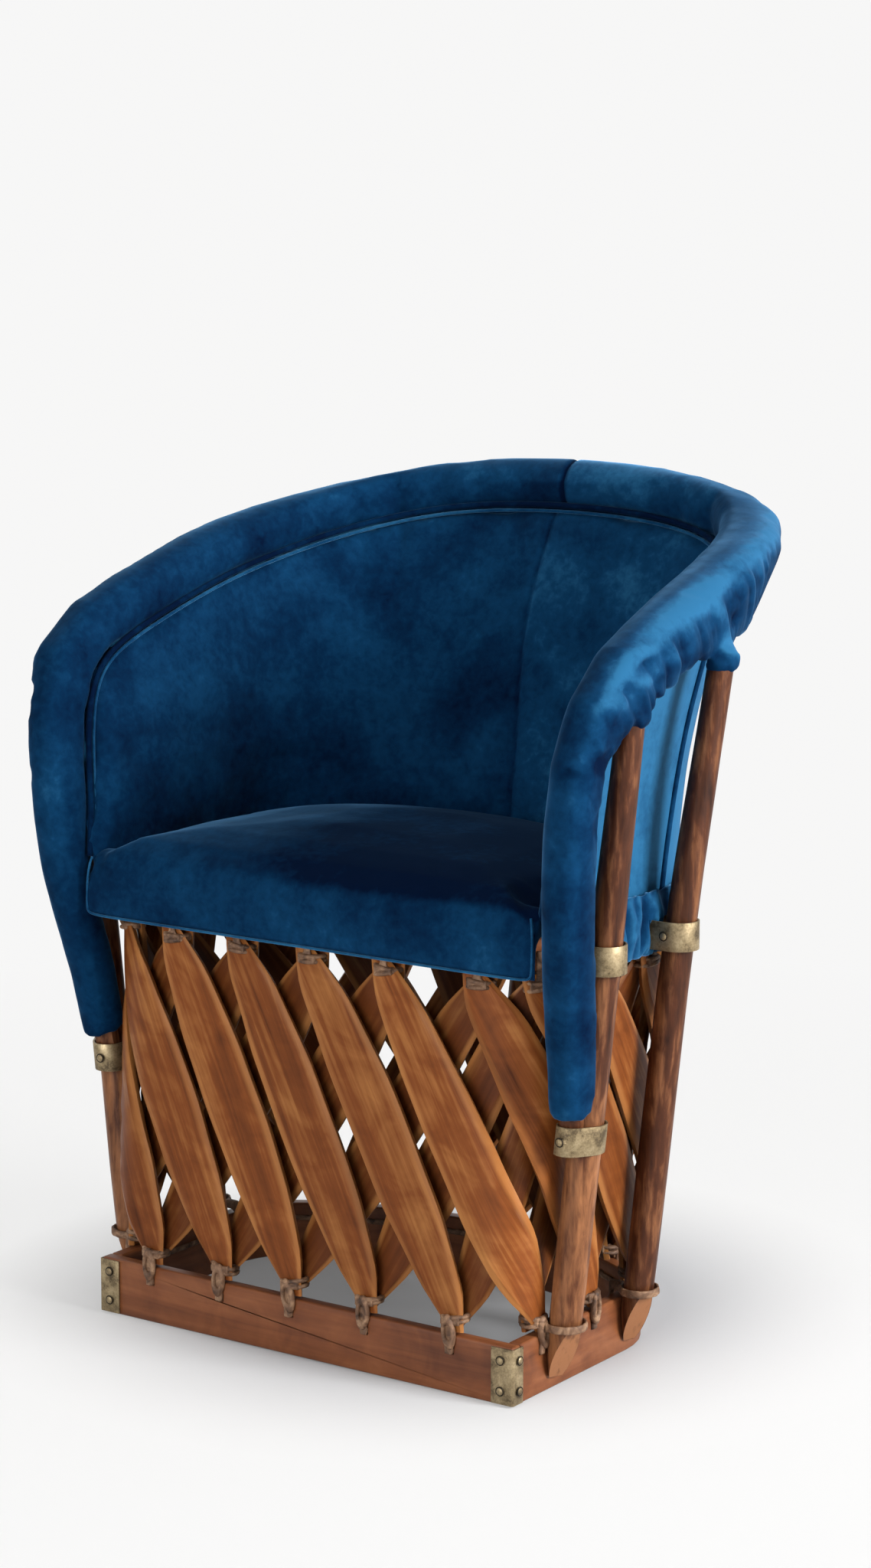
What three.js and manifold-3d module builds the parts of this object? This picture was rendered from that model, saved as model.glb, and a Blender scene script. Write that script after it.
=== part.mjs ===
// Equipale chair: a laced barrel of cedar slats between two hoops, five posts,
// a bent arm rail and velvet upholstery. Millimetres, +Z up, front towards -Y.
import * as THREE from 'three';
import { mergeVertices } from 'three/addons/utils/BufferGeometryUtils.js';
import Module from 'manifold-3d';

const wasm = await Module();
wasm.setup();

// Fits
const GAP = 0.3;
const OVERRUN = 5;

// Base boards: a straight front board and one bent board round the sides and back
const BASE_HALF_WIDTH = 250;
const BASE_FRONT = 0;
const BASE_SIDE_END = 206;
const BASE_CORNER_RADIUS = 90;
const BASE_HEIGHT = 58;
const BOARD_THICKNESS = 14;
const BOARD_CHAMFER = 1.5;

// Seat hoop: a bent strip on which the seat rests
const SEAT_HALF_WIDTH = 275;
const SEAT_FRONT = 12;
const SEAT_FRONT_RADIUS = 90;
const SEAT_SIDE_END = 217;
const SEAT_CORNER_RADIUS = 130;
const HOOP_BOTTOM = 412;
const HOOP_HEIGHT = 30;
const HOOP_THICKNESS = 14;

// Slats: lens-shaped cedar strips in an outer and an inner layer
const SLAT_WIDTH = 74;
const SLAT_THICKNESS = 7;
const SLAT_TIP = 11;
const SLAT_END_SPACE = 1;
const SLAT_LAYER_SPACE = 1.5;
const SLAT_SIDE_SPACE = 6;
const SLAT_INNER_BOW = 11;
const SLAT_BASE_INSET = 9;
const SLAT_BASE_FRONT_RADIUS = 35;
const SLAT_STEP = 2;
const PLACE_REACH = 12;
const slatPlaceShares = [0, 0.11, 0.36, 0.64, 0.89, 1];
const slatWidthShares = [0.22, 0.62, 0.97, 0.97, 0.62, 0.26];
const baseKnotShares = [
  0.8704, 0.9318, 0.9918, 0.0546, 0.1242, 0.187, 0.2511, 0.3173,
  0.377, 0.436, 0.4785, 0.5455, 0.614, 0.6827, 0.7489, 0.813,
];
const seatKnotShares = [
  0.8943, 0.9465, 0.0019, 0.06, 0.1277, 0.1635, 0.2079, 0.2666,
  0.344, 0.4215, 0.495, 0.5685, 0.647, 0.7334, 0.7921, 0.842,
];

// Lacing: a leather thong that runs round inside each hoop and collars the slat tips
const THONG_THICKNESS = 3;
const THONG_WIDTH = 9;
const COLLAR_HEIGHT = 9;
const COLLAR_HALF_WIDTH = 13;
const HOLE_SIZE = 8;
const HOLE_DEPTH_BELOW_EDGE = 15;
const STRIP_HEIGHT = 7;
const TIE_CLEARANCE = 1.6;

// Posts: round rods lapped on the base board and standing up into the roll
const FRONT_POST_RADIUS = 17;
const REAR_POST_RADIUS = 16;
const POST_TOP_RADIUS = 13;
const POST_Y_FRONT = 66;
const POST_Y_REAR = 200;
const POST_FOOT = 12;
const POST_FOOT_OUT = 10.5;
const FRONT_POST_OUT = 30;
const REAR_POST_OUT = 29.5;
const BACK_POST_OUT = 29.5;
const FRONT_POST_TOP_SHARE = 0.7564;
const FRONT_POST_TOP_OUT = 59;
const REAR_POST_TOP_SHARE = 0.7839;
const REAR_POST_TOP_OUT = 57;
const REAR_POST_TOP_BACK = 28;
const BACK_POST_TOP_SHARE = 0.8611;
const BACK_POST_TOP_OUT = 97;
const FOOT_BEVEL = 26;
const FOOT_TIP_SHARE = 0.62;

// Arm rail: a bent rod that runs over the back and down both front posts
const RAIL_RADIUS = 13;
const RAIL_SEAT_SPREAD = 37;
const RAIL_BACK = 488;
const RAIL_HEIGHT = 826;
const RAIL_END_HEIGHT = 243;
const RAIL_CORNER_RADIUS = 180;
const RAIL_STATIONS = 42;
const RAIL_SIDES = 8;
const RAIL_DIVISIONS = 600;
const railShares = [
  [0, 1, 1],
  [0.256, 0.998, 0.9957],
  [0.5, 0.975, 0.983],
  [0.696, 0.92, 0.9632],
  [0.824, 0.82, 0.9419],
  [0.894, 0.705, 0.9207],
  [0.942, 0.566, 0.8937],
  [0.968, 0.42, 0.8597],
  [0.981, 0.277, 0.8201],
  [0.995, 0.148, 0.779],
  [1, 0.074, 0.7393],
  [0.994, 0.029, 0.6812],
  [0.981, 0.006, 0.5948],
  [0.971, 0.004, 0.4928],
  [0.962, 0.012, 0.3894],
  [0.942, 0.041, 0.2689],
  [0.92, 0.076, 0.1499],
  [0.906, 0.1, 0.0578],
  [0.897, 0.112, 0],
];

// Roll: the padded velvet tube round the rail, with a flap down its outside
const ROLL_RADIUS = 27;
const ROLL_OUTER_RADIUS = 40;
const ROLL_UNDERSIDE = 23;
const ROLL_INNER_EDGE_SHARE = 0.66;
const ROLL_OUTER_EDGE_SHARE = 0.3;
const ROLL_FLAP_SWELL_SHARE = 0.08;
const rollShoulderShares = [[0, -0.1], [-0.14, 0.52], [-0.5, 0.88]];
const rollHeadShares = [[0.08, 1], [-0.42, 0.92], [-0.83, 0.58], [-1, 0], [-0.92, -0.55]];
const FLAP_LENGTH = 104;
const FLAP_THICKNESS = 15;
const HEM_REACH = 45;
const SLEEVE_END_SHARE = 0.953;
const flapShares = [
  [0, 1], [0.22, 0.98], [0.3, 0.86], [0.38, 0.6], [0.46, 0.46], [0.53, 0.4], [0.62, 0.28], [0.67, 0.222],
  [1, 0.222],
];
const hemShares = [
  [0, 0.36], [0.05, 0.3], [0.1, -0.16], [0.27, -0.1], [0.36, 0.3], [0.42, 0.76], [0.47, 0.76],
  [0.52, 0.72], [0.565, 0.88], [0.62, 0.72], [0.67, 0.56], [1, 0.56],
];
const rollOuterShares = [
  [0, 0], [0.14, 0.1], [0.24, 0.8], [0.32, 1], [0.42, 0.8], [0.5, 0.55], [0.62, 0.35], [0.7, 0], [1, 0],
];
const legShares = [[0, 1], [0.62, 1], [0.7, 0.97], [0.82, 0.95], [0.9, 0.86], [1, 0.74]];

// Back panels: padded inner panel and plain outer panel, from the seat to the roll
const PANEL_BOTTOM = 450;
const INNER_PANEL_THICKNESS = 11;
const OUTER_PANEL_THICKNESS = 5;
const PANEL_SPACE = 3;
const PANEL_TOP_GAP = 0.9;
const PANEL_SEAT_INSET = 22;
const PANEL_FRONT_RADIUS = 25;
const PANEL_BOW = 13;
const PANEL_END_SHARE = 0.8;
const PANEL_SEAT_END_SHARE = 0.176;
const PANEL_SPREAD_SHARE = 0.2;
const panelRiseShares = [0, 0.33, 0.66, 1];

// Piping: the covered cord in the seam between the roll and the inner panel
const PIPING_RADIUS = 3;
const PIPING_SIDES = 6;
const PIPING_OUT = 24.2;
const PIPING_DOWN = 21.5;

// Seat: sling, cushion and the gathered velvet round the hoop
const SLING_THICKNESS = 3;
const SLING_INSET = 1;
const PAD_FRONT = 0.6;
const PAD_SIDE_INSET = 5;
const PAD_FRONT_DEPTH = 28;
const PAD_BORDER_BOTTOM = 407;
const PAD_BORDER_THICKNESS = 7.6;
const PAD_EDGE_TOP = 478;
const PAD_CROWN = 24;
const PAD_CLEARANCE = 1.2;
const PAD_PANEL_SPACE = 1;
const padRingShares = [
  [0.955, 0], [0.99, 0.1], [1, 0.35], [1, 0.62], [0.985, 0.82], [0.95, 0.95],
];
const padBorderShares = [
  [-0.2, 4.5], [0.1, 2.4], [0.95, 1], [1.9, 0.4],
];
const padCrownShares = [[0.87, 0.32], [0.66, 0.7], [0.34, 1]];
const APRON_TOP = 466;
const APRON_BOTTOM = 408;
const APRON_OFFSET = 4.6;
const APRON_THICKNESS = 2.5;
const APRON_BULGE = 5;
const APRON_PLEAT = 1.4;
const APRON_PLEATS = 19;
const apronBulgeShares = [[0.7, 0.22], [0.8, 0.7]];
const APRON_END_SHARE = 0.18;

// Metal: corner brackets, arm bands and seat straps with their nails
const SHEET = 2;
const BRACKET_FRONT_LEAF = 23;
const BRACKET_SIDE_LEAF = 16;
const BRACKET_MARGIN = 1.5;
const bracketNailShares = [0.25, 0.75];
const BRACKET_SIDE_NAIL_SHARE = 0.6;
const NAIL_RADIUS = 4;
const NAIL_CROWN_SHARE = 0.7;
const NAIL_HEIGHT = 1.6;
const NAIL_SIDES = 7;
const BAND_TOP = 268;
const BAND_HEIGHT = 28;
const BAND_CLEARANCE = 0.8;
const STRAP_HEIGHT = 28;
const STRAP_CLEARANCE = 2.2;

// Facets
const ROD_SIDES = 12;
const ARC_STEPS = 6;
const FRONT_ARC_STEP = 18;

// Materials
const finish = (color, roughness, metalness = 0) =>
  new THREE.MeshStandardMaterial({ color, roughness, metalness });
const cedarBoard = () => finish(0x7a3f25, 0.5);
const cedarSlat = () => finish(0x86482a, 0.45);
const cedarRod = () => finish(0x6e3a24, 0.5);
const leather = () => finish(0x6b4a30, 0.6);
const velvet = () => finish(0x0f3a66, 0.85);
const antiqueBrass = () => finish(0x857552, 0.5, 0.6);

const chair = new THREE.Group();

function add(name, geometry, material) {
  const mesh = new THREE.Mesh(geometry, material);
  mesh.name = name;
  chair.add(mesh);
  return mesh;
}

// Solids

function solidOf(geometry) {
  const bare = new THREE.BufferGeometry();
  bare.setAttribute('position', geometry.getAttribute('position').clone());
  if (geometry.index) {
    bare.setIndex(geometry.index.clone());
  }
  const merged = mergeVertices(bare);
  const corners = merged.index.array;
  const faces = [];
  for (let i = 0; i < corners.length; i += 3) {
    const [a, b, c] = [corners[i], corners[i + 1], corners[i + 2]];
    if (a !== b && b !== c && c !== a) {
      faces.push(a, b, c);
    }
  }
  return new wasm.Manifold(new wasm.Mesh({
    numProp: 3,
    vertProperties: new Float32Array(merged.attributes.position.array),
    triVerts: new Uint32Array(faces),
  }));
}

function geometryOf(solid) {
  const mesh = solid.getMesh();
  const geometry = new THREE.BufferGeometry();
  geometry.setAttribute('position', new THREE.BufferAttribute(new Float32Array(mesh.vertProperties), 3));
  geometry.setIndex(new THREE.BufferAttribute(new Uint32Array(mesh.triVerts), 1));
  geometry.computeVertexNormals();
  return geometry;
}

function cut(geometry, tools) {
  return geometryOf(tools.reduce((solid, tool) => solid.subtract(solidOf(tool)), solidOf(geometry)));
}

function join(geometries) {
  const [first, ...others] = geometries;
  return geometryOf(others.reduce((solid, extra) => solid.add(solidOf(extra)), solidOf(first)));
}

// The faces of a cap on a loop of points, seen from the side that the loop turns round
function capFaces(points) {
  const normal = new THREE.Vector3();
  points.forEach((p, i) => {
    const q = points[(i + 1) % points.length];
    normal.add(new THREE.Vector3().crossVectors(p, q));
  });
  normal.normalize();
  const across = new THREE.Vector3().subVectors(points[1], points[0]).normalize();
  const up = new THREE.Vector3().crossVectors(normal, across);
  const flat = points.map((p) => new THREE.Vector2(p.dot(across), p.dot(up)));
  return THREE.ShapeUtils.triangulateShape(flat, []);
}

// A skin over equal loops of points, each turning round the direction of travel,
// with every quad split along its shorter diagonal
function loft(sections) {
  const count = sections[0].length;
  const positions = sections.flat().flatMap((p) => [p.x, p.y, p.z]);
  const faces = [];
  for (let i = 0; i < sections.length - 1; i += 1) {
    for (let j = 0; j < count; j += 1) {
      const next = (j + 1) % count;
      const [a, b] = [i * count + j, i * count + next];
      const [c, d] = [(i + 1) * count + next, (i + 1) * count + j];
      const rising = sections[i][j].distanceTo(sections[i + 1][next]);
      const falling = sections[i][next].distanceTo(sections[i + 1][j]);
      if (rising <= falling) {
        faces.push(a, b, c, a, c, d);
      } else {
        faces.push(a, b, d, b, c, d);
      }
    }
  }
  const last = (sections.length - 1) * count;
  capFaces(sections[0]).forEach(([a, b, c]) => faces.push(a, c, b));
  capFaces(sections[sections.length - 1]).forEach(([a, b, c]) => faces.push(last + a, last + b, last + c));
  const geometry = new THREE.BufferGeometry();
  geometry.setAttribute('position', new THREE.BufferAttribute(new Float32Array(positions), 3));
  geometry.setIndex(faces);
  geometry.computeVertexNormals();
  return geometry;
}

function boxBetween(low, high) {
  const size = new THREE.Vector3().subVectors(high, low);
  const centre = new THREE.Vector3().addVectors(low, high).multiplyScalar(0.5);
  return new THREE.BoxGeometry(size.x, size.y, size.z).translate(centre.x, centre.y, centre.z);
}

// A prism over a plan outline, with an optional chamfer inside its size
function prism(outline, bottom, height, chamfer = 0, hole = null) {
  const shape = new THREE.Shape(outline);
  if (hole) {
    shape.holes.push(new THREE.Path(hole));
  }
  const geometry = new THREE.ExtrudeGeometry(shape, {
    depth: height - 2 * chamfer,
    bevelEnabled: chamfer > 0,
    bevelThickness: chamfer,
    bevelSize: chamfer,
    bevelOffset: -chamfer,
    bevelSegments: 1,
  });
  return geometry.translate(0, 0, bottom + chamfer);
}

// A value from a table of [place, value] rows
function shareAt(rows, place) {
  const next = rows.findIndex((row) => row[0] >= place);
  if (next <= 0) {
    return rows[Math.max(next, 0)][1];
  }
  const [before, after] = [rows[next - 1], rows[next]];
  const part = (place - before[0]) / (after[0] - before[0]);
  return THREE.MathUtils.lerp(before[1], after[1], part);
}

// Hoop plans

const CORNER_TURN = Math.PI / 3;
const BACK_TURN = Math.PI / 2 - CORNER_TURN;
const BASE_PLAN = {
  halfWidth: BASE_HALF_WIDTH,
  front: BASE_FRONT,
  frontRadius: 0,
  sideEnd: BASE_SIDE_END,
  cornerRadius: BASE_CORNER_RADIUS,
};
const SLAT_BASE_PLAN = { ...BASE_PLAN, frontRadius: SLAT_BASE_FRONT_RADIUS };
const SEAT_PLAN = {
  halfWidth: SEAT_HALF_WIDTH,
  front: SEAT_FRONT,
  frontRadius: SEAT_FRONT_RADIUS,
  sideEnd: SEAT_SIDE_END,
  cornerRadius: SEAT_CORNER_RADIUS,
};

function arc(cx, cy, radius, from, to, steps) {
  const points = [];
  for (let i = 0; i <= steps; i += 1) {
    const angle = THREE.MathUtils.lerp(from, to, i / steps);
    points.push(new THREE.Vector2(cx + radius * Math.cos(angle), cy + radius * Math.sin(angle)));
  }
  return points;
}

// The arc across the back that continues the two rear corners
function backArc(plan) {
  const endX = plan.halfWidth - plan.cornerRadius + plan.cornerRadius * Math.cos(CORNER_TURN);
  const endY = plan.sideEnd + plan.cornerRadius * Math.sin(CORNER_TURN);
  const radius = endX / Math.sin(BACK_TURN);
  return { radius, centre: endY - radius * Math.cos(BACK_TURN) };
}

function rearOf(plan) {
  const back = backArc(plan);
  return back.centre + back.radius;
}

// The right half of a hoop plan, from the front corner to the middle of the back
function halfRing(plan, inset) {
  const side = plan.halfWidth - inset;
  const front = plan.front + inset;
  const rounded = plan.frontRadius > inset;
  const cornerX = plan.halfWidth - plan.frontRadius;
  const cornerY = plan.front + plan.frontRadius;
  const steps = Math.max(Math.ceil(plan.frontRadius / FRONT_ARC_STEP), 1);
  const start = rounded
    ? arc(cornerX, cornerY, plan.frontRadius - inset, -Math.PI / 2, 0, steps)
    : [new THREE.Vector2(side, front)];
  const back = backArc(plan);
  const centre = plan.halfWidth - plan.cornerRadius;
  const corner = arc(centre, plan.sideEnd, plan.cornerRadius - inset, 0, CORNER_TURN, ARC_STEPS);
  const rear = arc(0, back.centre, back.radius - inset, CORNER_TURN, Math.PI / 2, ARC_STEPS);
  return [...start, ...corner, ...rear.slice(1)];
}

const mirrored = (points) => points.map((p) => new THREE.Vector2(-p.x, p.y)).reverse();

// A closed hoop plan, anticlockwise from the right front corner
function ring(plan, inset) {
  const right = halfRing(plan, inset);
  return [...right, ...mirrored(right.slice(0, -1))];
}

function lengthOf(plan, inset) {
  const points = ring(plan, inset);
  return points.reduce((sum, p, i) => sum + p.distanceTo(points[(i + 1) % points.length]), 0);
}

// A place on a hoop plan by its share of the way round from the middle of the front
function placeOn(plan, inset, share) {
  const points = ring(plan, inset);
  const start = new THREE.Vector2(0, plan.front + inset);
  const loop = [start, ...points, start];
  const lengths = loop.slice(1).map((p, i) => p.distanceTo(loop[i]));
  const total = lengths.reduce((sum, length) => sum + length, 0);
  let left = THREE.MathUtils.euclideanModulo(share, 1) * total;
  let i = 0;
  while (left > lengths[i] && i < lengths.length - 1) {
    left -= lengths[i];
    i += 1;
  }
  const along = new THREE.Vector2().subVectors(loop[i + 1], loop[i]).normalize();
  return {
    point: loop[i].clone().addScaledVector(along, left),
    along: new THREE.Vector3(along.x, along.y, 0),
    out: new THREE.Vector3(along.y, -along.x, 0),
  };
}

const at = (place, height, out = 0) =>
  new THREE.Vector3(place.point.x, place.point.y, height).addScaledVector(place.out, out);

// A box set square to a hoop at one of its places
function boxAt(place, halfWidth, outLow, outHigh, low, high) {
  const geometry = boxBetween(
    new THREE.Vector3(-halfWidth, outLow, low),
    new THREE.Vector3(halfWidth, outHigh, high),
  );
  const turn = new THREE.Matrix4();
  turn.makeBasis(place.along.clone().negate(), place.out, new THREE.Vector3(0, 0, 1));
  turn.setPosition(place.point.x, place.point.y, 0);
  return geometry.applyMatrix4(turn);
}

// Knots: where slat tips meet on each hoop

const BASE_KNOT_HEIGHT = BASE_HEIGHT + SLAT_END_SPACE + SLAT_TIP + COLLAR_HEIGHT / 4;
const SEAT_KNOT_HEIGHT = HOOP_BOTTOM - SLAT_END_SPACE - SLAT_TIP - COLLAR_HEIGHT / 4;
const SEAT_KNOT_INSET = HOOP_THICKNESS / 2;
const BASE_LENGTH = lengthOf(SLAT_BASE_PLAN, SLAT_BASE_INSET);
const SEAT_LENGTH = lengthOf(SEAT_PLAN, SEAT_KNOT_INSET);
const BASE_HOLE_HEIGHT = BASE_HEIGHT - HOLE_DEPTH_BELOW_EDGE;
const SEAT_HOLE_HEIGHT = HOOP_BOTTOM + HOLE_DEPTH_BELOW_EDGE;
const baseKnots = baseKnotShares.map((share) => placeOn(SLAT_BASE_PLAN, SLAT_BASE_INSET, share));
const seatKnots = seatKnotShares.map((share) => placeOn(SEAT_PLAN, SEAT_KNOT_INSET, share));

// Base

const baseHoles = baseKnots.map((knot) => boxAt(
  knot,
  HOLE_SIZE / 2,
  SLAT_BASE_INSET - BOARD_THICKNESS - OVERRUN,
  SLAT_BASE_INSET + OVERRUN,
  BASE_HOLE_HEIGHT - HOLE_SIZE / 2,
  BASE_HOLE_HEIGHT + HOLE_SIZE / 2,
));

function baseFrontBoard() {
  const outline = [
    new THREE.Vector2(-BASE_HALF_WIDTH, BASE_FRONT),
    new THREE.Vector2(BASE_HALF_WIDTH, BASE_FRONT),
    new THREE.Vector2(BASE_HALF_WIDTH, BASE_FRONT + BOARD_THICKNESS),
    new THREE.Vector2(-BASE_HALF_WIDTH, BASE_FRONT + BOARD_THICKNESS),
  ];
  return cut(prism(outline, 0, BASE_HEIGHT, BOARD_CHAMFER), baseHoles);
}

function baseRearHoop() {
  const front = BASE_FRONT + BOARD_THICKNESS + GAP;
  const sideOf = (inset) => {
    const points = ring(BASE_PLAN, inset);
    points[0].y = front;
    points[points.length - 1].y = front;
    return points;
  };
  const outline = [...sideOf(0), ...sideOf(BOARD_THICKNESS).reverse()];
  return cut(prism(outline, 0, BASE_HEIGHT, BOARD_CHAMFER), baseHoles);
}

add('base_front_board', baseFrontBoard(), cedarBoard());
add('base_rear_hoop', baseRearHoop(), cedarBoard());

// A round nail head that stands on a face; direction points out of the face
function nailHead(centre, direction) {
  const crown = NAIL_RADIUS * NAIL_CROWN_SHARE;
  const head = new THREE.CylinderGeometry(crown, NAIL_RADIUS, NAIL_HEIGHT + SHEET / 2, NAIL_SIDES);
  const turn = new THREE.Quaternion().setFromUnitVectors(new THREE.Vector3(0, 1, 0), direction);
  head.applyQuaternion(turn);
  const middle = centre.clone().addScaledVector(direction, NAIL_HEIGHT / 2 - SHEET / 4);
  return head.translate(middle.x, middle.y, middle.z);
}

function cornerBracket(side) {
  const outer = BASE_HALF_WIDTH + GAP + SHEET;
  const front = BASE_FRONT - GAP - SHEET;
  const inner = BASE_HALF_WIDTH + GAP;
  const points = [
    [outer - SHEET - BRACKET_FRONT_LEAF, front],
    [outer - SHEET, front],
    [outer, front + SHEET],
    [outer, front + SHEET + BRACKET_SIDE_LEAF],
    [inner, front + SHEET + BRACKET_SIDE_LEAF],
    [inner, front + SHEET],
    [outer - SHEET - BRACKET_FRONT_LEAF, front + SHEET],
  ].map(([x, y]) => new THREE.Vector2(side * x, y));
  const outline = side > 0 ? points : points.reverse();
  const leaf = prism(outline, BRACKET_MARGIN, BASE_HEIGHT - 2 * BRACKET_MARGIN);
  const frontX = outer - SHEET - BRACKET_FRONT_LEAF / 2;
  const sideY = front + SHEET + BRACKET_SIDE_LEAF * BRACKET_SIDE_NAIL_SHARE;
  const heads = bracketNailShares.flatMap((share) => [
    nailHead(new THREE.Vector3(side * frontX, front, BASE_HEIGHT * share), new THREE.Vector3(0, -1, 0)),
    nailHead(new THREE.Vector3(side * outer, sideY, BASE_HEIGHT * share), new THREE.Vector3(side, 0, 0)),
  ]);
  return join([leaf, ...heads]);
}

add('corner_bracket_left', cornerBracket(-1), antiqueBrass());
add('corner_bracket_right', cornerBracket(1), antiqueBrass());

// Slats

// A place on a hoop plan with its way out taken over a short run, so that it turns smoothly
function evenPlace(plan, inset, share) {
  const reach = PLACE_REACH / lengthOf(plan, inset);
  const before = placeOn(plan, inset, share - reach).point;
  const after = placeOn(plan, inset, share + reach).point;
  const along = new THREE.Vector2().subVectors(after, before).normalize();
  return { point: placeOn(plan, inset, share).point, out: new THREE.Vector3(along.y, -along.x, 0) };
}

// A point on the barrel between the two hoops; place runs from the base knots to the seat knots
function barrelAt(share, place, offset) {
  const base = evenPlace(SLAT_BASE_PLAN, SLAT_BASE_INSET, share);
  const seat = evenPlace(SEAT_PLAN, SEAT_KNOT_INSET, share);
  const low = at(base, BASE_KNOT_HEIGHT);
  const high = at(seat, SEAT_KNOT_HEIGHT);
  const rise = new THREE.Vector3().subVectors(high, low).normalize();
  const out = new THREE.Vector3().lerpVectors(base.out, seat.out, place);
  out.addScaledVector(rise, -out.dot(rise)).normalize();
  return low.lerp(high, place).addScaledVector(out, offset);
}

// The slats' places: in each layer one from every seat knot to a base knot some knots on
const knotCount = baseKnotShares.length;
const nearest = (share, target) => share + Math.round(target - share);
const layerSlats = (layer) => seatKnotShares.map((seatShare, i) => {
  const base = baseKnotShares[(i + knotCount + layer * SLAT_STEP) % knotCount];
  return { number: i, layer, seatShare, baseShare: nearest(base, seatShare) };
});
const slatLayers = { 1: layerSlats(1), [-1]: layerSlats(-1) };
const slatShareAt = ({ baseShare, seatShare }, place) => THREE.MathUtils.lerp(baseShare, seatShare, place);

// How wide a slat can be at a place before it meets the next slats of its layer
function slatRoom(one, place, around) {
  const gaps = [-1, 1].map((step) => {
    const next = slatLayers[one.layer][(one.number + knotCount + step) % knotCount];
    const apart = slatShareAt(one, place) - slatShareAt(next, place);
    return Math.abs(apart - Math.round(apart)) * around;
  });
  return Math.min(...gaps) - SLAT_SIDE_SPACE;
}

// One slat on the barrel from a seat knot to a base knot, in the outer layer 1 or the inner layer -1,
// with a clearance added all round when it serves as a cutter
function slat(one, grow = 0) {
  const { layer } = one;
  const tip = (SLAT_TIP + grow) / (SEAT_KNOT_HEIGHT - BASE_KNOT_HEIGHT);
  const half = SLAT_THICKNESS / 2 + grow;
  const sections = slatPlaceShares.map((part, i) => {
    const place = THREE.MathUtils.lerp(-tip, 1 + tip, part);
    const bow = layer < 0 ? SLAT_INNER_BOW * (1 - (2 * part - 1) ** 4) : 0;
    const middle = layer * (SLAT_THICKNESS + SLAT_LAYER_SPACE) / 2 - bow;
    const share = slatShareAt(one, place);
    const around = THREE.MathUtils.lerp(BASE_LENGTH, SEAT_LENGTH, place);
    const width = Math.min(SLAT_WIDTH * slatWidthShares[i], slatRoom(one, place, around));
    const halfTurn = (width / 2 + grow) / around;
    const faces = [[-1, half], [0, half], [1, half], [1, -half], [0, -half], [-1, -half]];
    return faces.map(([way, thick]) => barrelAt(share + way * halfTurn, place, middle + thick));
  });
  return loft(sections);
}

const slats = seatKnotShares.flatMap((_, i) => [1, -1].map((layer) => {
  const number = String(i + 1).padStart(2, '0');
  return { ...slatLayers[layer][i], name: `${layer > 0 ? 'outer' : 'inner'}_slat_${number}` };
}));
slats.forEach((one) => add(one.name, slat(one), cedarSlat()));
const slatClears = slats.map((one) => slat(one, GAP));

// Seat hoop

const seatHoles = seatKnots.map((knot) => boxAt(
  knot,
  HOLE_SIZE / 2,
  SEAT_KNOT_INSET - HOOP_THICKNESS - OVERRUN,
  SEAT_KNOT_INSET + OVERRUN,
  SEAT_HOLE_HEIGHT - HOLE_SIZE / 2,
  SEAT_HOLE_HEIGHT + HOLE_SIZE / 2,
));
const hoopSolid = prism(ring(SEAT_PLAN, 0), HOOP_BOTTOM, HOOP_HEIGHT, 0, ring(SEAT_PLAN, HOOP_THICKNESS));
add('seat_hoop', cut(hoopSolid, seatHoles), cedarBoard());

// Posts

// A round rod through sections of centre, radius
function rod(centres, radii, sides = ROD_SIDES) {
  const curve = new THREE.CatmullRomCurve3(centres, false, 'centripetal');
  const count = centres.length - 1;
  const sections = centres.map((centre, i) => {
    const along = curve.getTangent(i / count).normalize();
    const side = new THREE.Vector3(1, 0, 0).addScaledVector(along, -along.x).normalize();
    const turn = new THREE.Vector3().crossVectors(along, side);
    return Array.from({ length: sides }, (_, j) => {
      const angle = (2 * Math.PI * (j + 0.5)) / sides;
      return centre.clone()
        .addScaledVector(side, radii[i] * Math.cos(angle))
        .addScaledVector(turn, radii[i] * Math.sin(angle));
    });
  });
  return loft(sections);
}

const POST_STRAP_HEIGHT = HOOP_BOTTOM + HOOP_HEIGHT / 2;
const RAIL_HALF_WIDTH = SEAT_HALF_WIDTH + RAIL_SEAT_SPREAD;
const BASE_REAR = rearOf(BASE_PLAN);
const SEAT_REAR = rearOf(SEAT_PLAN);
const heightOnRail = (share) => THREE.MathUtils.lerp(RAIL_END_HEIGHT, RAIL_HEIGHT, share);
const strapPoint = (x, y) => new THREE.Vector3(x, y, POST_STRAP_HEIGHT);
const frontPost = {
  radius: FRONT_POST_RADIUS,
  foot: new THREE.Vector3(BASE_HALF_WIDTH + POST_FOOT_OUT, POST_Y_FRONT, POST_FOOT),
  strap: strapPoint(SEAT_HALF_WIDTH + FRONT_POST_OUT, POST_Y_FRONT),
  top: new THREE.Vector3(
    SEAT_HALF_WIDTH + FRONT_POST_TOP_OUT,
    POST_Y_FRONT,
    heightOnRail(FRONT_POST_TOP_SHARE),
  ),
};
const rearPost = {
  radius: REAR_POST_RADIUS,
  foot: new THREE.Vector3(BASE_HALF_WIDTH + POST_FOOT_OUT, POST_Y_REAR, POST_FOOT),
  strap: strapPoint(SEAT_HALF_WIDTH + REAR_POST_OUT, POST_Y_REAR),
  top: new THREE.Vector3(
    SEAT_HALF_WIDTH + REAR_POST_TOP_OUT,
    POST_Y_REAR + REAR_POST_TOP_BACK,
    heightOnRail(REAR_POST_TOP_SHARE),
  ),
};
const backPost = {
  radius: REAR_POST_RADIUS,
  foot: new THREE.Vector3(0, BASE_REAR + POST_FOOT_OUT, POST_FOOT),
  strap: strapPoint(0, SEAT_REAR + BACK_POST_OUT),
  top: new THREE.Vector3(0, SEAT_REAR + BACK_POST_TOP_OUT, heightOnRail(BACK_POST_TOP_SHARE)),
};

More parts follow.
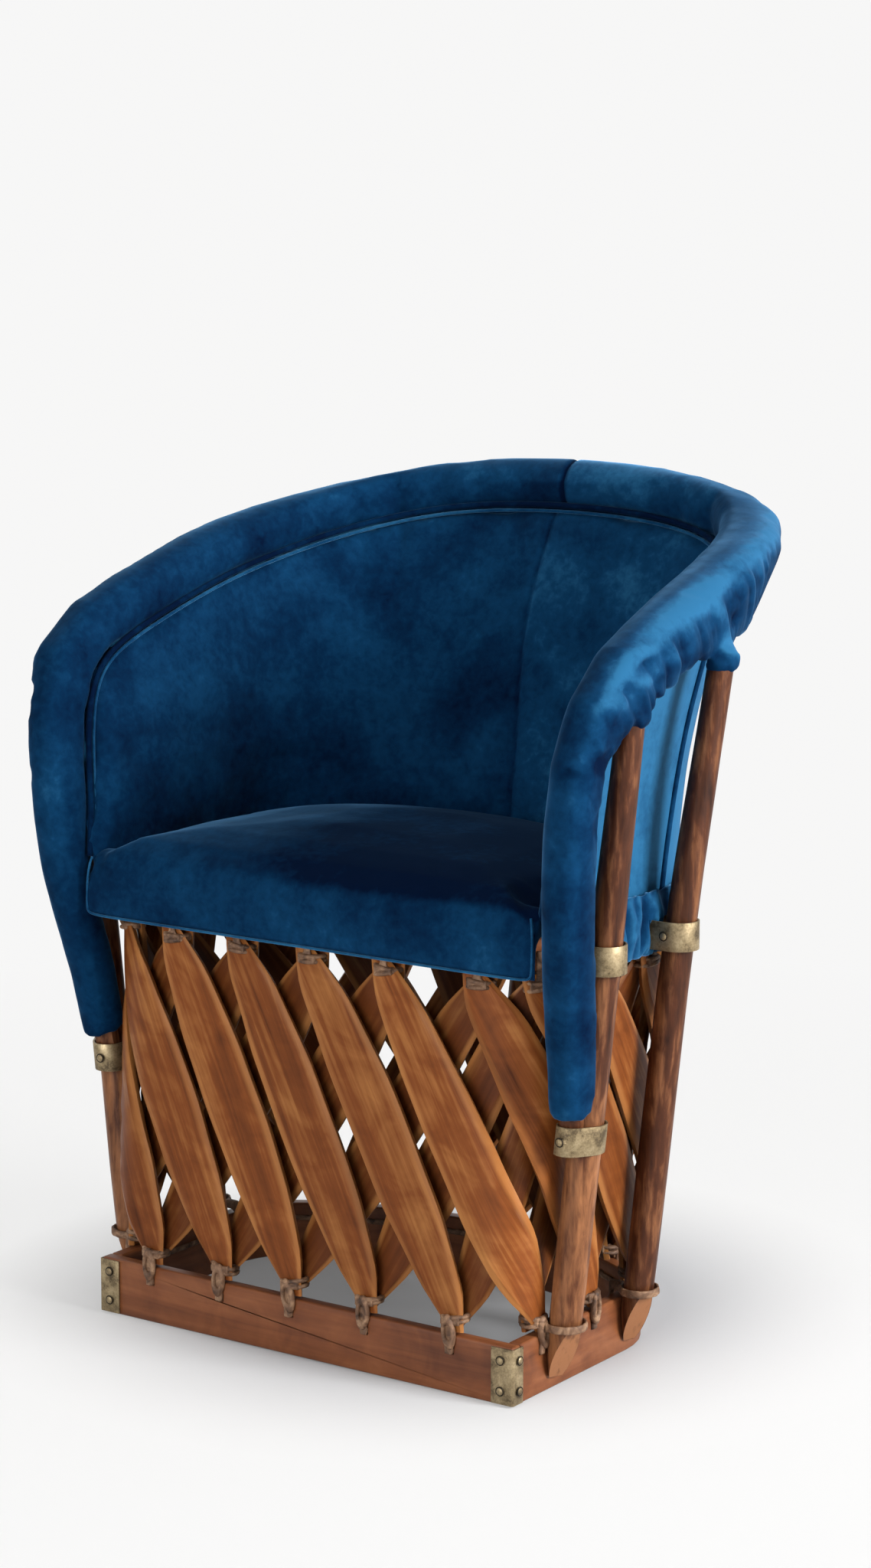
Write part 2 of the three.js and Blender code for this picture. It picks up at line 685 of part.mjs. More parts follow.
// The centre line of a post at a height, on its straight runs below and above the strap
function postAt(post, height) {
  const [from, to] = height < post.strap.z ? [post.foot, post.strap] : [post.strap, post.top];
  return new THREE.Vector3().lerpVectors(from, to, (height - from.z) / (to.z - from.z));
}

const mirrorX = (p, side) => new THREE.Vector3(side * p.x, p.y, p.z);

function postRod(post, side, extra = 0) {
  const heights = [
    post.foot.z - extra * OVERRUN,
    post.foot.z + FOOT_BEVEL,
    (post.foot.z + post.strap.z) / 2,
    post.strap.z,
    (post.strap.z + post.top.z) / 2,
    post.top.z + extra * OVERRUN,
  ];
  const radii = [
    post.radius * (extra > 0 ? 1 : FOOT_TIP_SHARE),
    post.radius,
    post.radius,
    post.radius,
    (post.radius + POST_TOP_RADIUS) / 2,
    POST_TOP_RADIUS,
  ].map((radius) => radius + extra * GAP);
  return rod(heights.map((height) => mirrorX(postAt(post, height), side)), radii);
}

const railSide = railShares.map(([x, y, z]) =>
  new THREE.Vector3(RAIL_HALF_WIDTH * x, RAIL_BACK * y, heightOnRail(z)));
const railPoints = [...railSide.slice(1).map((p) => mirrorX(p, -1)).reverse(), ...railSide];
const railCurve = new THREE.CatmullRomCurve3(railPoints, false, 'centripetal');
railCurve.arcLengthDivisions = RAIL_DIVISIONS;

// The way out of the chair from a place on the rail, level with the floor
function outwardAt(p) {
  const cornerX = RAIL_HALF_WIDTH - RAIL_CORNER_RADIUS;
  const cornerY = RAIL_BACK - RAIL_CORNER_RADIUS;
  const x = Math.max(Math.abs(p.x) - cornerX, 0);
  const y = Math.max(p.y - cornerY, 0);
  return new THREE.Vector3(Math.sign(p.x) * x, y, 0).normalize();
}

// Stations along the rail: centre, way out, way up, and share of the way from the back to an end
const stations = Array.from({ length: RAIL_STATIONS + 1 }, (_, i) => {
  const share = i / RAIL_STATIONS;
  const centre = railCurve.getPointAt(share);
  const along = railCurve.getTangentAt(share);
  const level = outwardAt(centre);
  const out = level.clone().addScaledVector(along, -level.dot(along)).normalize();
  const up = new THREE.Vector3().crossVectors(along, out);
  return { centre, out, up, level, reach: Math.abs(2 * share - 1) };
});

const offsetFrom = (station, out, up) =>
  station.centre.clone().addScaledVector(station.out, out).addScaledVector(station.up, up);

function railRod(extra) {
  const radius = RAIL_RADIUS + extra * GAP;
  const sections = stations.map((station) => Array.from({ length: RAIL_SIDES }, (_, j) => {
    const angle = (2 * Math.PI * (j + 0.5)) / RAIL_SIDES;
    return offsetFrom(station, radius * Math.cos(angle), radius * Math.sin(angle));
  }));
  if (extra > 0) {
    const push = (section, from) => section.map((p, j) => p.clone().addScaledVector(
      new THREE.Vector3().subVectors(p, from[j]).normalize(),
      OVERRUN,
    ));
    sections[0] = push(sections[0], sections[1]);
    sections[sections.length - 1] = push(sections[sections.length - 1], sections[sections.length - 2]);
  }
  return loft(sections);
}

const baseClear = prism(ring(BASE_PLAN, -GAP), -OVERRUN, BASE_HEIGHT + OVERRUN + GAP);
const posts = [
  ['front_post_left', frontPost, -1],
  ['front_post_right', frontPost, 1],
  ['rear_post_left', rearPost, -1],
  ['rear_post_right', rearPost, 1],
  ['back_post', backPost, 1],
];
posts.forEach(([name, post, side]) => {
  add(name, cut(postRod(post, side), [baseClear]), cedarRod());
});
const postClears = posts.map(([, post, side]) => postRod(post, side, 1));

// Arm rail, lapped against the front posts at its lower ends
add('arm_rail', cut(railRod(0), postClears), cedarRod());

// Lacing

// The collar round two slat tips, and the thong from it over the hoop's outer face to the hole
function knotLoop(knot, inset, knotHeight, holeHeight) {
  const outer = SLAT_THICKNESS + SLAT_LAYER_SPACE / 2 + GAP + THONG_THICKNESS;
  const half = COLLAR_HEIGHT / 2;
  const wall = COLLAR_HALF_WIDTH + THONG_THICKNESS;
  const faceOut = inset + GAP;
  const low = Math.min(knotHeight, holeHeight);
  const high = Math.max(knotHeight, holeHeight);
  return [
    boxAt(knot, wall, -outer, outer, knotHeight - half, knotHeight + half),
    boxAt(knot, THONG_WIDTH / 2, inset - THONG_THICKNESS, faceOut + THONG_THICKNESS, low - half, high + half),
  ];
}

// The stretch of thong inside one hole
function holePin(knot, inset, thickness, holeHeight) {
  const half = HOLE_SIZE / 2 - GAP;
  const reach = THONG_THICKNESS / 2 + GAP;
  return boxAt(knot, half, inset - thickness - reach, inset + reach, holeHeight - half, holeHeight + half);
}

function runningStrip(plan, thickness, height) {
  const inset = thickness + GAP;
  return prism(
    ring(plan, inset),
    height - STRIP_HEIGHT / 2,
    STRIP_HEIGHT,
    0,
    ring(plan, inset + THONG_THICKNESS),
  );
}

// The tie that holds a post to the base board, carried over the board's top edge
function postTie([, post, side], index) {
  const height = BASE_HEIGHT + THONG_WIDTH;
  const centre = mirrorX(postAt(post, height), side);
  const radius = post.radius + TIE_CLEARANCE;
  const circle = (r) => arc(centre.x, centre.y, r, 0, 2 * Math.PI, ROD_SIDES).slice(1);
  const half = THONG_WIDTH / 2;
  const hoop = prism(circle(radius + THONG_THICKNESS), height - half, THONG_WIDTH, 0, circle(radius));
  const out = index === posts.length - 1 ? new THREE.Vector3(0, 1, 0) : new THREE.Vector3(side, 0, 0);
  const along = new THREE.Vector3(-out.y, out.x, 0);
  const face = index === posts.length - 1
    ? new THREE.Vector2(0, BASE_REAR)
    : new THREE.Vector2(side * BASE_HALF_WIDTH, post.foot.y);
  const place = { point: face, along, out };
  const inner = -BOARD_THICKNESS - GAP;
  const behind = inner - THONG_THICKNESS;
  const reach = postAt(post, height).distanceTo(post.foot.clone().setZ(height)) + POST_FOOT_OUT - radius;
  return [
    hoop,
    boxAt(place, half, behind, reach - THONG_THICKNESS / 2, height - half, height + half),
    boxAt(place, half, behind, inner, BASE_HOLE_HEIGHT, height + half),
  ];
}

// A whole lacing: loops cut to lie on the hoop's faces and round the slat tips, joined through the holes
function lacing(plan, knots, knotInset, thickness, knotHeight, holeHeight, low, high, extras) {
  const loops = join([
    runningStrip(plan, thickness, holeHeight),
    ...knots.flatMap((knot) => knotLoop(knot, knotInset, knotHeight, holeHeight)),
    ...extras,
  ]);
  const clear = prism(ring(plan, -GAP), low - GAP, high - low + 2 * GAP, 0, ring(plan, thickness + GAP));
  const pins = knots.map((knot) => holePin(knot, knotInset, thickness, holeHeight));
  return join([cut(loops, [clear, ...slatClears, ...postClears]), ...pins]);
}

const bottomLacing = lacing(
  BASE_PLAN,
  baseKnots,
  SLAT_BASE_INSET,
  BOARD_THICKNESS,
  BASE_KNOT_HEIGHT,
  BASE_HOLE_HEIGHT,
  0,
  BASE_HEIGHT,
  posts.flatMap(postTie),
);
const topLacing = lacing(
  SEAT_PLAN,
  seatKnots,
  SEAT_KNOT_INSET,
  HOOP_THICKNESS,
  SEAT_KNOT_HEIGHT,
  SEAT_HOLE_HEIGHT,
  HOOP_BOTTOM,
  HOOP_BOTTOM + HOOP_HEIGHT,
  [],
);
add('bottom_lacing', bottomLacing, leather());
add('top_lacing', topLacing, leather());

// Metal bands and straps

// The outline that wraps two circles
function wrapOf(first, firstRadius, second, secondRadius) {
  const toward = Math.atan2(second.y - first.y, second.x - first.x);
  const turn = Math.acos((firstRadius - secondRadius) / Math.hypot(second.x - first.x, second.y - first.y));
  return [
    ...arc(first.x, first.y, firstRadius, toward + turn, toward - turn + 2 * Math.PI, ROD_SIDES),
    ...arc(second.x, second.y, secondRadius, toward - turn, toward + turn, ROD_SIDES / 2),
  ];
}

// The centre line of the rail at a height on its way down to a front post
function railAt(height) {
  const next = railSide.findIndex((p) => p.z < height);
  const part = (height - railSide[next].z) / (railSide[next - 1].z - railSide[next].z);
  return new THREE.Vector3().lerpVectors(railSide[next], railSide[next - 1], part);
}

// The band that clamps an end of the rail to a front post, leaning with the post
function armBand(side) {
  const middle = BAND_TOP - BAND_HEIGHT / 2;
  const post = mirrorX(postAt(frontPost, middle), side);
  const rail = mirrorX(railAt(middle), side);
  rail.y = railAt(BAND_TOP).y;
  const aroundPost = FRONT_POST_RADIUS + BAND_CLEARANCE;
  const aroundRail = RAIL_RADIUS + BAND_CLEARANCE;
  const outer = wrapOf(post, aroundPost + SHEET, rail, aroundRail + SHEET);
  const band = prism(outer, -BAND_HEIGHT / 2, BAND_HEIGHT, 0, wrapOf(post, aroundPost, rail, aroundRail));
  const face = new THREE.Vector3(rail.x, rail.y - aroundRail - SHEET, 0);
  const lean = (frontPost.strap.x - frontPost.foot.x) / (frontPost.strap.z - frontPost.foot.z);
  const shear = new THREE.Matrix4().makeShear(0, 0, 0, 0, side * lean, 0);
  const upright = join([band, nailHead(face, new THREE.Vector3(0, -1, 0))]);
  return cut(upright.applyMatrix4(shear).translate(0, 0, middle), [railRod(1), postClears[(side + 1) / 2]]);
}

add('arm_band_left', armBand(-1), antiqueBrass());
add('arm_band_right', armBand(1), antiqueBrass());

// A strap bent round a post, with both legs run back to the seat hoop and nailed
function seatStrap(post, side, hoopPoint, out) {
  const centre = mirrorX(postAt(post, POST_STRAP_HEIGHT), side);
  const along = new THREE.Vector3(-out.y, out.x, 0);
  const inner = post.radius + STRAP_CLEARANCE;
  const outer = inner + SHEET;
  const depth = new THREE.Vector3(centre.x - hoopPoint.x, centre.y - hoopPoint.y, 0).dot(out) - GAP;
  const bend = (radius) => arc(0, 0, radius, 0, Math.PI, ROD_SIDES).map((p) => [p.x, p.y]);
  const outline = [
    ...bend(outer),
    [-outer, -depth],
    [-inner, -depth],
    ...bend(inner).reverse(),
    [inner, -depth],
    [outer, -depth],
  ];
  const turn = new THREE.Matrix4().makeBasis(along.clone().negate(), out, new THREE.Vector3(0, 0, 1));
  turn.setPosition(centre.x, centre.y, 0);
  const low = POST_STRAP_HEIGHT - STRAP_HEIGHT / 2;
  const strap = prism(outline.map(([x, y]) => new THREE.Vector2(x, y)), low, STRAP_HEIGHT);
  const nailOut = (depth + post.radius) / 2;
  const heads = [-1, 1].map((way) => nailHead(
    new THREE.Vector3(way * outer, -nailOut, POST_STRAP_HEIGHT),
    new THREE.Vector3(way, 0, 0),
  ));
  return cut(join([strap, ...heads]).applyMatrix4(turn), postClears);
}

const sidePlace = (side, y) => new THREE.Vector3(side * SEAT_HALF_WIDTH, y, 0);
const straps = [
  ['front_seat_strap_left', frontPost, -1, sidePlace(-1, POST_Y_FRONT), new THREE.Vector3(-1, 0, 0)],
  ['front_seat_strap_right', frontPost, 1, sidePlace(1, POST_Y_FRONT), new THREE.Vector3(1, 0, 0)],
  ['rear_seat_strap_left', rearPost, -1, sidePlace(-1, POST_Y_REAR), new THREE.Vector3(-1, 0, 0)],
  ['rear_seat_strap_right', rearPost, 1, sidePlace(1, POST_Y_REAR), new THREE.Vector3(1, 0, 0)],
  ['back_seat_strap', backPost, 1, new THREE.Vector3(0, SEAT_REAR, 0), new THREE.Vector3(0, 1, 0)],
];
straps.forEach(([name, post, side, hoopPoint, out]) => {
  add(name, seatStrap(post, side, hoopPoint, out), antiqueBrass());
});

// Roll

// One section of the roll: round head, flap on the outside, level underside
function rollSection(station) {
  const taper = shareAt(legShares, station.reach);
  const outer = THREE.MathUtils.lerp(ROLL_RADIUS, ROLL_OUTER_RADIUS, shareAt(rollOuterShares, station.reach));
  const flap = FLAP_LENGTH * shareAt(flapShares, station.reach);
  const hem = HEM_REACH * shareAt(hemShares, station.reach);
  const r = ROLL_RADIUS;
  const under = -ROLL_UNDERSIDE;
  const profile = [
    [-r * ROLL_INNER_EDGE_SHARE, under],
    [r * ROLL_OUTER_EDGE_SHARE, under],
    [hem - FLAP_THICKNESS, -flap],
    [hem, -flap],
    [(outer + hem) / 2 + r * ROLL_FLAP_SWELL_SHARE, -flap / 2],
    ...rollShoulderShares.map(([out, up]) => [outer + r * out, r * up]),
    ...rollHeadShares.map(([out, up]) => [r * out, r * up]),
  ];
  return profile.map(([out, up]) => offsetFrom(station, out * taper, up * taper));
}

const sleeveStations = stations.filter((station) => station.reach <= SLEEVE_END_SHARE);
const rollSolid = loft(sleeveStations.map(rollSection));
add('roll_cover', cut(rollSolid, [railRod(1), ...postClears]), velvet());

// Back panels

const panelStations = stations.filter((station) => station.reach <= PANEL_END_SHARE);

// Each station's share of the way from the back to the panel's front end, partly by plan
const planShares = (() => {
  const middle = (panelStations.length - 1) / 2;
  const steps = panelStations.map((station, i) => {
    const before = panelStations[Math.max(i - 1, 0)].centre;
    return Math.hypot(station.centre.x - before.x, station.centre.y - before.y);
  });
  const walked = steps.map((_, i) => steps.slice(1, i + 1).reduce((sum, step) => sum + step, 0));
  const total = walked[walked.length - 1];
  return walked.map((length, i) => {
    const byPlan = 2 * length / total - 1;
    const byCount = (i - middle) / middle;
    return THREE.MathUtils.lerp(byPlan, byCount, PANEL_SPREAD_SHARE);
  });
})();

const PANEL_PLAN = { ...SEAT_PLAN, frontRadius: PANEL_FRONT_RADIUS };

// A panel between two depths behind the inner face, as sections across its run
function panel(faceIn, faceOut, seatLow) {
  const sections = panelStations.map((station, i) => {
    const span = 0.5 - PANEL_SEAT_END_SHARE;
    const foot = placeOn(PANEL_PLAN, PANEL_SEAT_INSET, 0.5 - span * planShares[i]);
    const topIn = -ROLL_RADIUS * ROLL_INNER_EDGE_SHARE - GAP;
    const pointAt = (rise, depth) => {
      const low = at(foot, seatLow, depth);
      const high = offsetFrom(station, topIn + depth, -ROLL_UNDERSIDE - PANEL_TOP_GAP);
      const bow = -PANEL_BOW * 4 * rise * (1 - rise);
      return new THREE.Vector3().lerpVectors(low, high, rise).addScaledVector(station.level, bow);
    };
    return [
      ...panelRiseShares.map((rise) => pointAt(rise, faceOut)),
      ...panelRiseShares.map((rise) => pointAt(rise, faceIn)).reverse(),
    ];
  });
  return loft(sections);
}

const innerFace = 0;
const innerBack = INNER_PANEL_THICKNESS;
const outerFace = INNER_PANEL_THICKNESS + PANEL_SPACE;
const outerBack = outerFace + OUTER_PANEL_THICKNESS;
add('inner_back_panel', panel(innerFace, innerBack, PANEL_BOTTOM), velvet());
const innerClear = panel(innerFace, innerBack + GAP, PANEL_BOTTOM);
add('outer_back_panel', cut(panel(outerFace, outerBack, PANEL_BOTTOM), [innerClear]), velvet());

// Piping along the roll's inner seam
const pipingStations = panelStations;
const pipingSections = pipingStations.map((station) => Array.from({ length: PIPING_SIDES }, (_, j) => {
  const angle = (2 * Math.PI * j) / PIPING_SIDES;
  const out = PIPING_RADIUS * Math.cos(angle) - PIPING_OUT;
  const up = PIPING_RADIUS * Math.sin(angle) - PIPING_DOWN;
  return offsetFrom(station, out, up);
}));
add('roll_piping', loft(pipingSections), velvet());

// Seat

const slingBottom = HOOP_BOTTOM + HOOP_HEIGHT + GAP;
const slingTop = slingBottom + SLING_THICKNESS;
add('seat_sling', prism(ring(SEAT_PLAN, SLING_INSET), slingBottom, SLING_THICKNESS), leather());

const PAD_INSET = PANEL_SEAT_INSET + PAD_CLEARANCE;
const PAD_FRONT_HALF_WIDTH = SEAT_HALF_WIDTH - PAD_SIDE_INSET;
const PAD_PLAN = { ...PANEL_PLAN, front: PAD_FRONT - PAD_INSET };

// The cushion with its crown, and the front border that hangs before the hoop
function seatPad() {
  const outline = ring(PAD_PLAN, PAD_INSET);
  const middle = new THREE.Vector2(0, (PAD_FRONT + rearOf(PAD_PLAN)) / 2);
  const bottom = slingTop + GAP;
  const edge = PAD_EDGE_TOP - bottom;
  const ringAt = (share, height) => outline.map((p) => {
    const q = p.clone().sub(middle).multiplyScalar(share).add(middle);
    return new THREE.Vector3(q.x, q.y, height);
  });
  const cushion = loft([
    ...padRingShares.map(([share, rise]) => ringAt(share, bottom + edge * rise)),
    ...padCrownShares.map(([share, rise]) => ringAt(share, PAD_EDGE_TOP + PAD_CROWN * rise)),
  ]);
  const t = PAD_BORDER_THICKNESS;
  const bar = [
    [t, PAD_BORDER_BOTTOM],
    [t, bottom],
    [PAD_FRONT_DEPTH, bottom],
    [PAD_FRONT_DEPTH, PAD_EDGE_TOP],
    ...padBorderShares.map(([back, down]) => [t * back, PAD_EDGE_TOP - t * down]).reverse(),
    [0, PAD_BORDER_BOTTOM + t / 2],
  ];
  const sectionAt = (x) => bar.map(([y, z]) => new THREE.Vector3(x, PAD_FRONT + y, z));
  const border = loft([sectionAt(-PAD_FRONT_HALF_WIDTH), sectionAt(PAD_FRONT_HALF_WIDTH)]);
  const panelRoom = panel(innerFace - PAD_PANEL_SPACE, innerBack, PANEL_BOTTOM - OVERRUN);
  return cut(join([cushion, border]), [panelRoom]);
}

add('seat_pad', seatPad(), velvet());

// The gathered velvet round the outside of the hoop, from one sleeve round to the other
function apron() {
  const count = APRON_PLEATS * 2;
  const sections = Array.from({ length: count + 1 }, (_, i) => {
    const share = THREE.MathUtils.lerp(APRON_END_SHARE, 1 - APRON_END_SHARE, i / count);
    const foot = placeOn(SEAT_PLAN, 0, share);
    const pleat = i % 2 === 0 ? APRON_PLEAT : -APRON_PLEAT;
    const height = APRON_TOP - APRON_BOTTOM;
    const skin = APRON_OFFSET + APRON_THICKNESS;
    const profile = [
      [APRON_OFFSET, 0],
      [skin, 0],
      ...apronBulgeShares.map(([out, up]) => [skin + APRON_BULGE * out + pleat, height * up]),
      [skin, height],
      [APRON_OFFSET, height],
    ];
    return profile.map(([out, up]) => at(foot, APRON_BOTTOM + up, out)).reverse();
  });
  const slots = straps.map(([, post, side, hoopPoint, out]) => {
    const along = new THREE.Vector3(-out.y, out.x, 0);
    const place = { point: new THREE.Vector2(hoopPoint.x, hoopPoint.y), along, out };
    const half = post.radius + STRAP_CLEARANCE + SHEET + NAIL_HEIGHT + GAP;
    const low = POST_STRAP_HEIGHT - STRAP_HEIGHT / 2 - GAP;
    return boxAt(place, half, 0, BACK_POST_OUT + post.radius * 2, low, low + STRAP_HEIGHT + 2 * GAP);
  });
  const panelRoom = panel(outerFace, outerBack + GAP, PANEL_BOTTOM - GAP);
  return cut(loft(sections), [...slots, panelRoom]);
}

add('seat_apron', apron(), velvet());

// Origin: the middle of the chair's footprint box, on the floor
const box = new THREE.Box3().setFromObject(chair, true);
const middle = box.getCenter(new THREE.Vector3());
chair.position.set(-middle.x, -middle.y, -box.min.z);
chair.updateMatrixWorld(true);

export default chair;
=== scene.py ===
"""Equipale chair: camera, studio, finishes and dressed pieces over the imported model.

Metres, +Z up, front towards -Y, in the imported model's own frame.
"""

from __future__ import annotations

import logging
import math
import random
from dataclasses import dataclass
from enum import Enum
from typing import Callable, Iterable, Sequence

import bmesh
import bpy
import numpy as np
from mathutils import Matrix, Vector, noise
from mathutils.bvhtree import BVHTree


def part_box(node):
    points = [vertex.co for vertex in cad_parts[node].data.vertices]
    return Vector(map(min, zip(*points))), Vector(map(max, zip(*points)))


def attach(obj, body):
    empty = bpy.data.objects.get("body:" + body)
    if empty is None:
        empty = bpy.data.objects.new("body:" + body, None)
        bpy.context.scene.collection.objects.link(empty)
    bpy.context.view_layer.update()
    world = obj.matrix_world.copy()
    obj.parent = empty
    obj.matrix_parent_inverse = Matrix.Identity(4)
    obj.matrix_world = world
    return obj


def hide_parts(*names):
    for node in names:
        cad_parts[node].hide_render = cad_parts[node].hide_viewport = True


LOG = logging.getLogger("equipale")
END_REACH = 0.0065

Colour = tuple[float, float, float]
Spot = tuple[float, float, float]
Span = tuple[float, float]
Table = tuple[Span, ...]
Piece = bpy.types.Object
Material = bpy.types.Material
Socket = bpy.types.NodeSocket


class Layer(Enum):
    """The two layers of slats, by the side of the barrel they lie on."""

    OUTER = 1
    INNER = -1


class Side(Enum):
    """The chair's sides, by the sign of x."""

    LEFT = -1
    RIGHT = 1


class Grain(Enum):
    """What a wood's long grain follows."""

    ROD = "rod"
    LEVEL = "level"
    OWN = "own"


# Small tools


def deselect_all() -> None:
    """Leave edit mode and deselect every object."""
    if bpy.context.object and bpy.context.object.mode != "OBJECT":
        bpy.ops.object.mode_set(mode="OBJECT")
    bpy.ops.object.select_all(action="DESELECT")


def activate(piece: Piece) -> None:
    """Make one object the active and only selected one.

    Args:
        piece: The object.
    """
    deselect_all()
    piece.select_set(True)
    bpy.context.view_layer.objects.active = piece


def modify(piece: Piece, kind: str, **settings: object) -> None:
    """Add a modifier to a piece and apply it.

    Args:
        piece: The object to change.
        kind: The modifier's type, such as BEVEL.
        settings: The modifier's properties by name.
    """
    activate(piece)
    modifier = piece.modifiers.new(kind.title(), kind)
    for name, value in settings.items():
        setattr(modifier, name, value)
    bpy.ops.object.modifier_apply(modifier=modifier.name)


def soften(piece: Piece, width: float, segments: int, degrees: float) -> None:
    """Round off the edges of a piece that are sharper than an angle.

    Args:
        piece: The object.
        width: How wide the rounding is.
        segments: How many steps it has.
        degrees: The angle past which an edge is sharp.
    """
    modify(piece, "BEVEL", width=width, segments=segments, limit_method="ANGLE",
           angle_limit=math.radians(degrees))


def divide(piece: Piece, levels: int) -> None:
    """Round a piece by subdividing it."""
    modify(piece, "SUBSURF", levels=levels, render_levels=levels)


def smooth_by_angle(piece: Piece, degrees: float) -> None:
    """Shade a piece smooth, with edges sharper than an angle kept."""
    activate(piece)
    bpy.ops.object.shade_smooth_by_angle(angle=math.radians(degrees))


def smooth_all(piece: Piece) -> None:
    """Shade a piece smooth all over."""
    activate(piece)
    bpy.ops.object.shade_smooth()


def edit_all(piece: Piece) -> None:
    """Open a piece in edit mode with all of it selected.

    Args:
        piece: The object to edit.
    """
    activate(piece)
    bpy.ops.object.mode_set(mode="EDIT")
    bpy.ops.mesh.select_all(action="SELECT")


def add_object(name: str, data: bpy.types.ID) -> Piece:
    """Link a new object to the scene.

    Args:
        name: The object's name.
        data: Its mesh, curve, camera or lamp.

    Returns:
        The new object.
    """
    made = bpy.data.objects.new(name, data)
    bpy.context.scene.collection.objects.link(made)
    return made


def coordinates(piece: Piece) -> np.ndarray:
    """The vertices of a piece as an array of rows x, y, z.

    Args:
        piece: The object.

    Returns:
        One row for each vertex.
    """
    rows = np.empty(len(piece.data.vertices) * 3, np.float64)
    piece.data.vertices.foreach_get("co", rows)
    return rows.reshape(-1, 3)


def normals(piece: Piece) -> np.ndarray:
    """The vertex normals of a piece as an array of rows x, y, z.

    Args:
        piece: The object.

    Returns:
        One row for each vertex.
    """
    rows = np.empty(len(piece.data.vertices) * 3, np.float64)
    piece.data.vertices.foreach_get("normal", rows)
    return rows.reshape(-1, 3)


def place(piece: Piece, rows: np.ndarray) -> None:
    """Move the vertices of a piece to new places."""
    piece.data.vertices.foreach_set("co", rows.astype(np.float32).ravel())
    piece.data.update()


def push(piece: Piece, amount: np.ndarray | float) -> None:
    """Move the vertices of a piece out along their normals, all alike or each by its own amount."""
    place(piece, coordinates(piece) + normals(piece) * np.reshape(amount, (-1, 1)))


def rest_at_origin(piece: Piece) -> None:
    """Apply a piece's place, turn and size to its mesh."""
    activate(piece)
    bpy.ops.object.transform_apply(location=True, rotation=True, scale=True)


def cad_copy(node: str, name: str, merge: float = 2e-5) -> Piece:
    """A new object with a merged copy of a CAD node's mesh.

    Args:
        node: The CAD node's name.
        name: The new object's name.
        merge: The distance under which loose corners are joined.

    Returns:
        The new object, at the origin, with quads where triangles pair up.
    """
    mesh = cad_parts[node].data.copy()
    mesh.name = name
    mesh.materials.clear()
    piece = add_object(name, mesh)
    edit_all(piece)
    bpy.ops.mesh.remove_doubles(threshold=merge)
    bpy.ops.mesh.tris_convert_to_quads(face_threshold=math.radians(25), shape_threshold=math.radians(60))
    bpy.ops.object.mode_set(mode="OBJECT")
    if mesh.has_custom_normals:
        bpy.ops.mesh.customdata_custom_splitnormals_clear()
    return piece


def crease_sharp(piece: Piece, degrees: float) -> None:
    """Crease the edges of a piece that are sharper than an angle.

    Args:
        piece: The object.
        degrees: The angle past which an edge is sharp.
    """
    mesh = bmesh.new()
    mesh.from_mesh(piece.data)
    layer = mesh.edges.layers.float.get("crease_edge") or mesh.edges.layers.float.new("crease_edge")
    limit = math.radians(degrees)
    for edge in mesh.edges:
        if len(edge.link_faces) == 2 and edge.calc_face_angle(0.0) > limit:
            edge[layer] = 1.0
    mesh.to_mesh(piece.data)
    mesh.free()


def store(piece: Piece, name: str, values: np.ndarray) -> None:
    """Keep a number or a vector for each vertex of a piece as a named attribute.

    Args:
        piece: The object that gets the attribute.
        name: The attribute's name, as its material reads it.
        values: One value or one row of three for each vertex.
    """
    kind, key = ("FLOAT", "value") if values.ndim == 1 else ("FLOAT_VECTOR", "vector")
    attribute = piece.data.attributes.get(name) or piece.data.attributes.new(name, kind, "POINT")
    attribute.data.foreach_set(key, values.astype(np.float32).ravel())


def dress(piece: Piece, finish: Material, slot: str, *nodes: str) -> None:
    """Give a piece its material and fix it to the frame in place of its CAD nodes.

    Args:
        piece: The finished object.
        finish: Its material.
        slot: The name of a material slot; not used.
        nodes: The CAD nodes that the piece stands for.
    """
    piece.data.materials.clear()
    piece.data.materials.append(finish)
    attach(piece, "root")
    if nodes:
        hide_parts(*nodes)


def clothe(piece: Piece, finish: Material, nap: np.ndarray | float, *nodes: str) -> None:
    """Shade a velvet piece smooth and dress it.

    Args:
        piece: The finished object.
        finish: The velvet.
        nap: The nap attribute, random nap strokes with painted light and shade, all over or at each vertex.
        nodes: The CAD nodes that the piece stands for.
    """
    # The nap attribute carries painted light and shade as well as the nap.
    store(piece, "nap", np.full(len(piece.data.vertices), nap))
    smooth_all(piece)
    dress(piece, finish, "velvet", *nodes)


def join(pieces: Sequence[Piece]) -> Piece:
    """Join pieces into the first of them.

    Args:
        pieces: The objects, first the one that takes up the others.

    Returns:
        The joined object.
    """
    activate(pieces[0])
    for piece in pieces[1:]:
        piece.select_set(True)
    bpy.ops.object.join()
    return bpy.context.object


def tube(name: str, middles: Sequence[Vector], radius: float) -> Piece:
    """A round cord along a line of points, as a mesh.

    Args:
        name: The new object's name.
        middles: The points that it is led by.
        radius: The cord's radius.

    Returns:
        The cord, with round ends closed.
    """
    curve = bpy.data.curves.new(name, "CURVE")
    curve.dimensions = "3D"
    curve.bevel_depth = radius
    curve.bevel_resolution = 3
    curve.use_fill_caps = True
    curve.resolution_u = 5
    line = curve.splines.new("NURBS")
    line.points.add(len(middles) - 1)
    for spot, middle in zip(line.points, middles):
        spot.co = (*middle, 1.0)
    line.use_endpoint_u = True
    line.order_u = 4
    activate(add_object(name, curve))
    bpy.ops.object.convert(target="MESH")
    bpy.ops.object.shade_smooth()
    return bpy.context.object


def ramp(value: np.ndarray, low: float, high: float) -> np.ndarray:
    """A smooth step from 0 at low to 1 at high."""
    part = np.clip((value - low) / (high - low), 0.0, 1.0)
    return part * part * (3 - 2 * part)


def groove(gap: np.ndarray, width: float) -> np.ndarray:
    """A soft line's depth: 1 where the gap to it is 0, and near 0 past its width."""
    return np.exp(-(gap / width) ** 2)


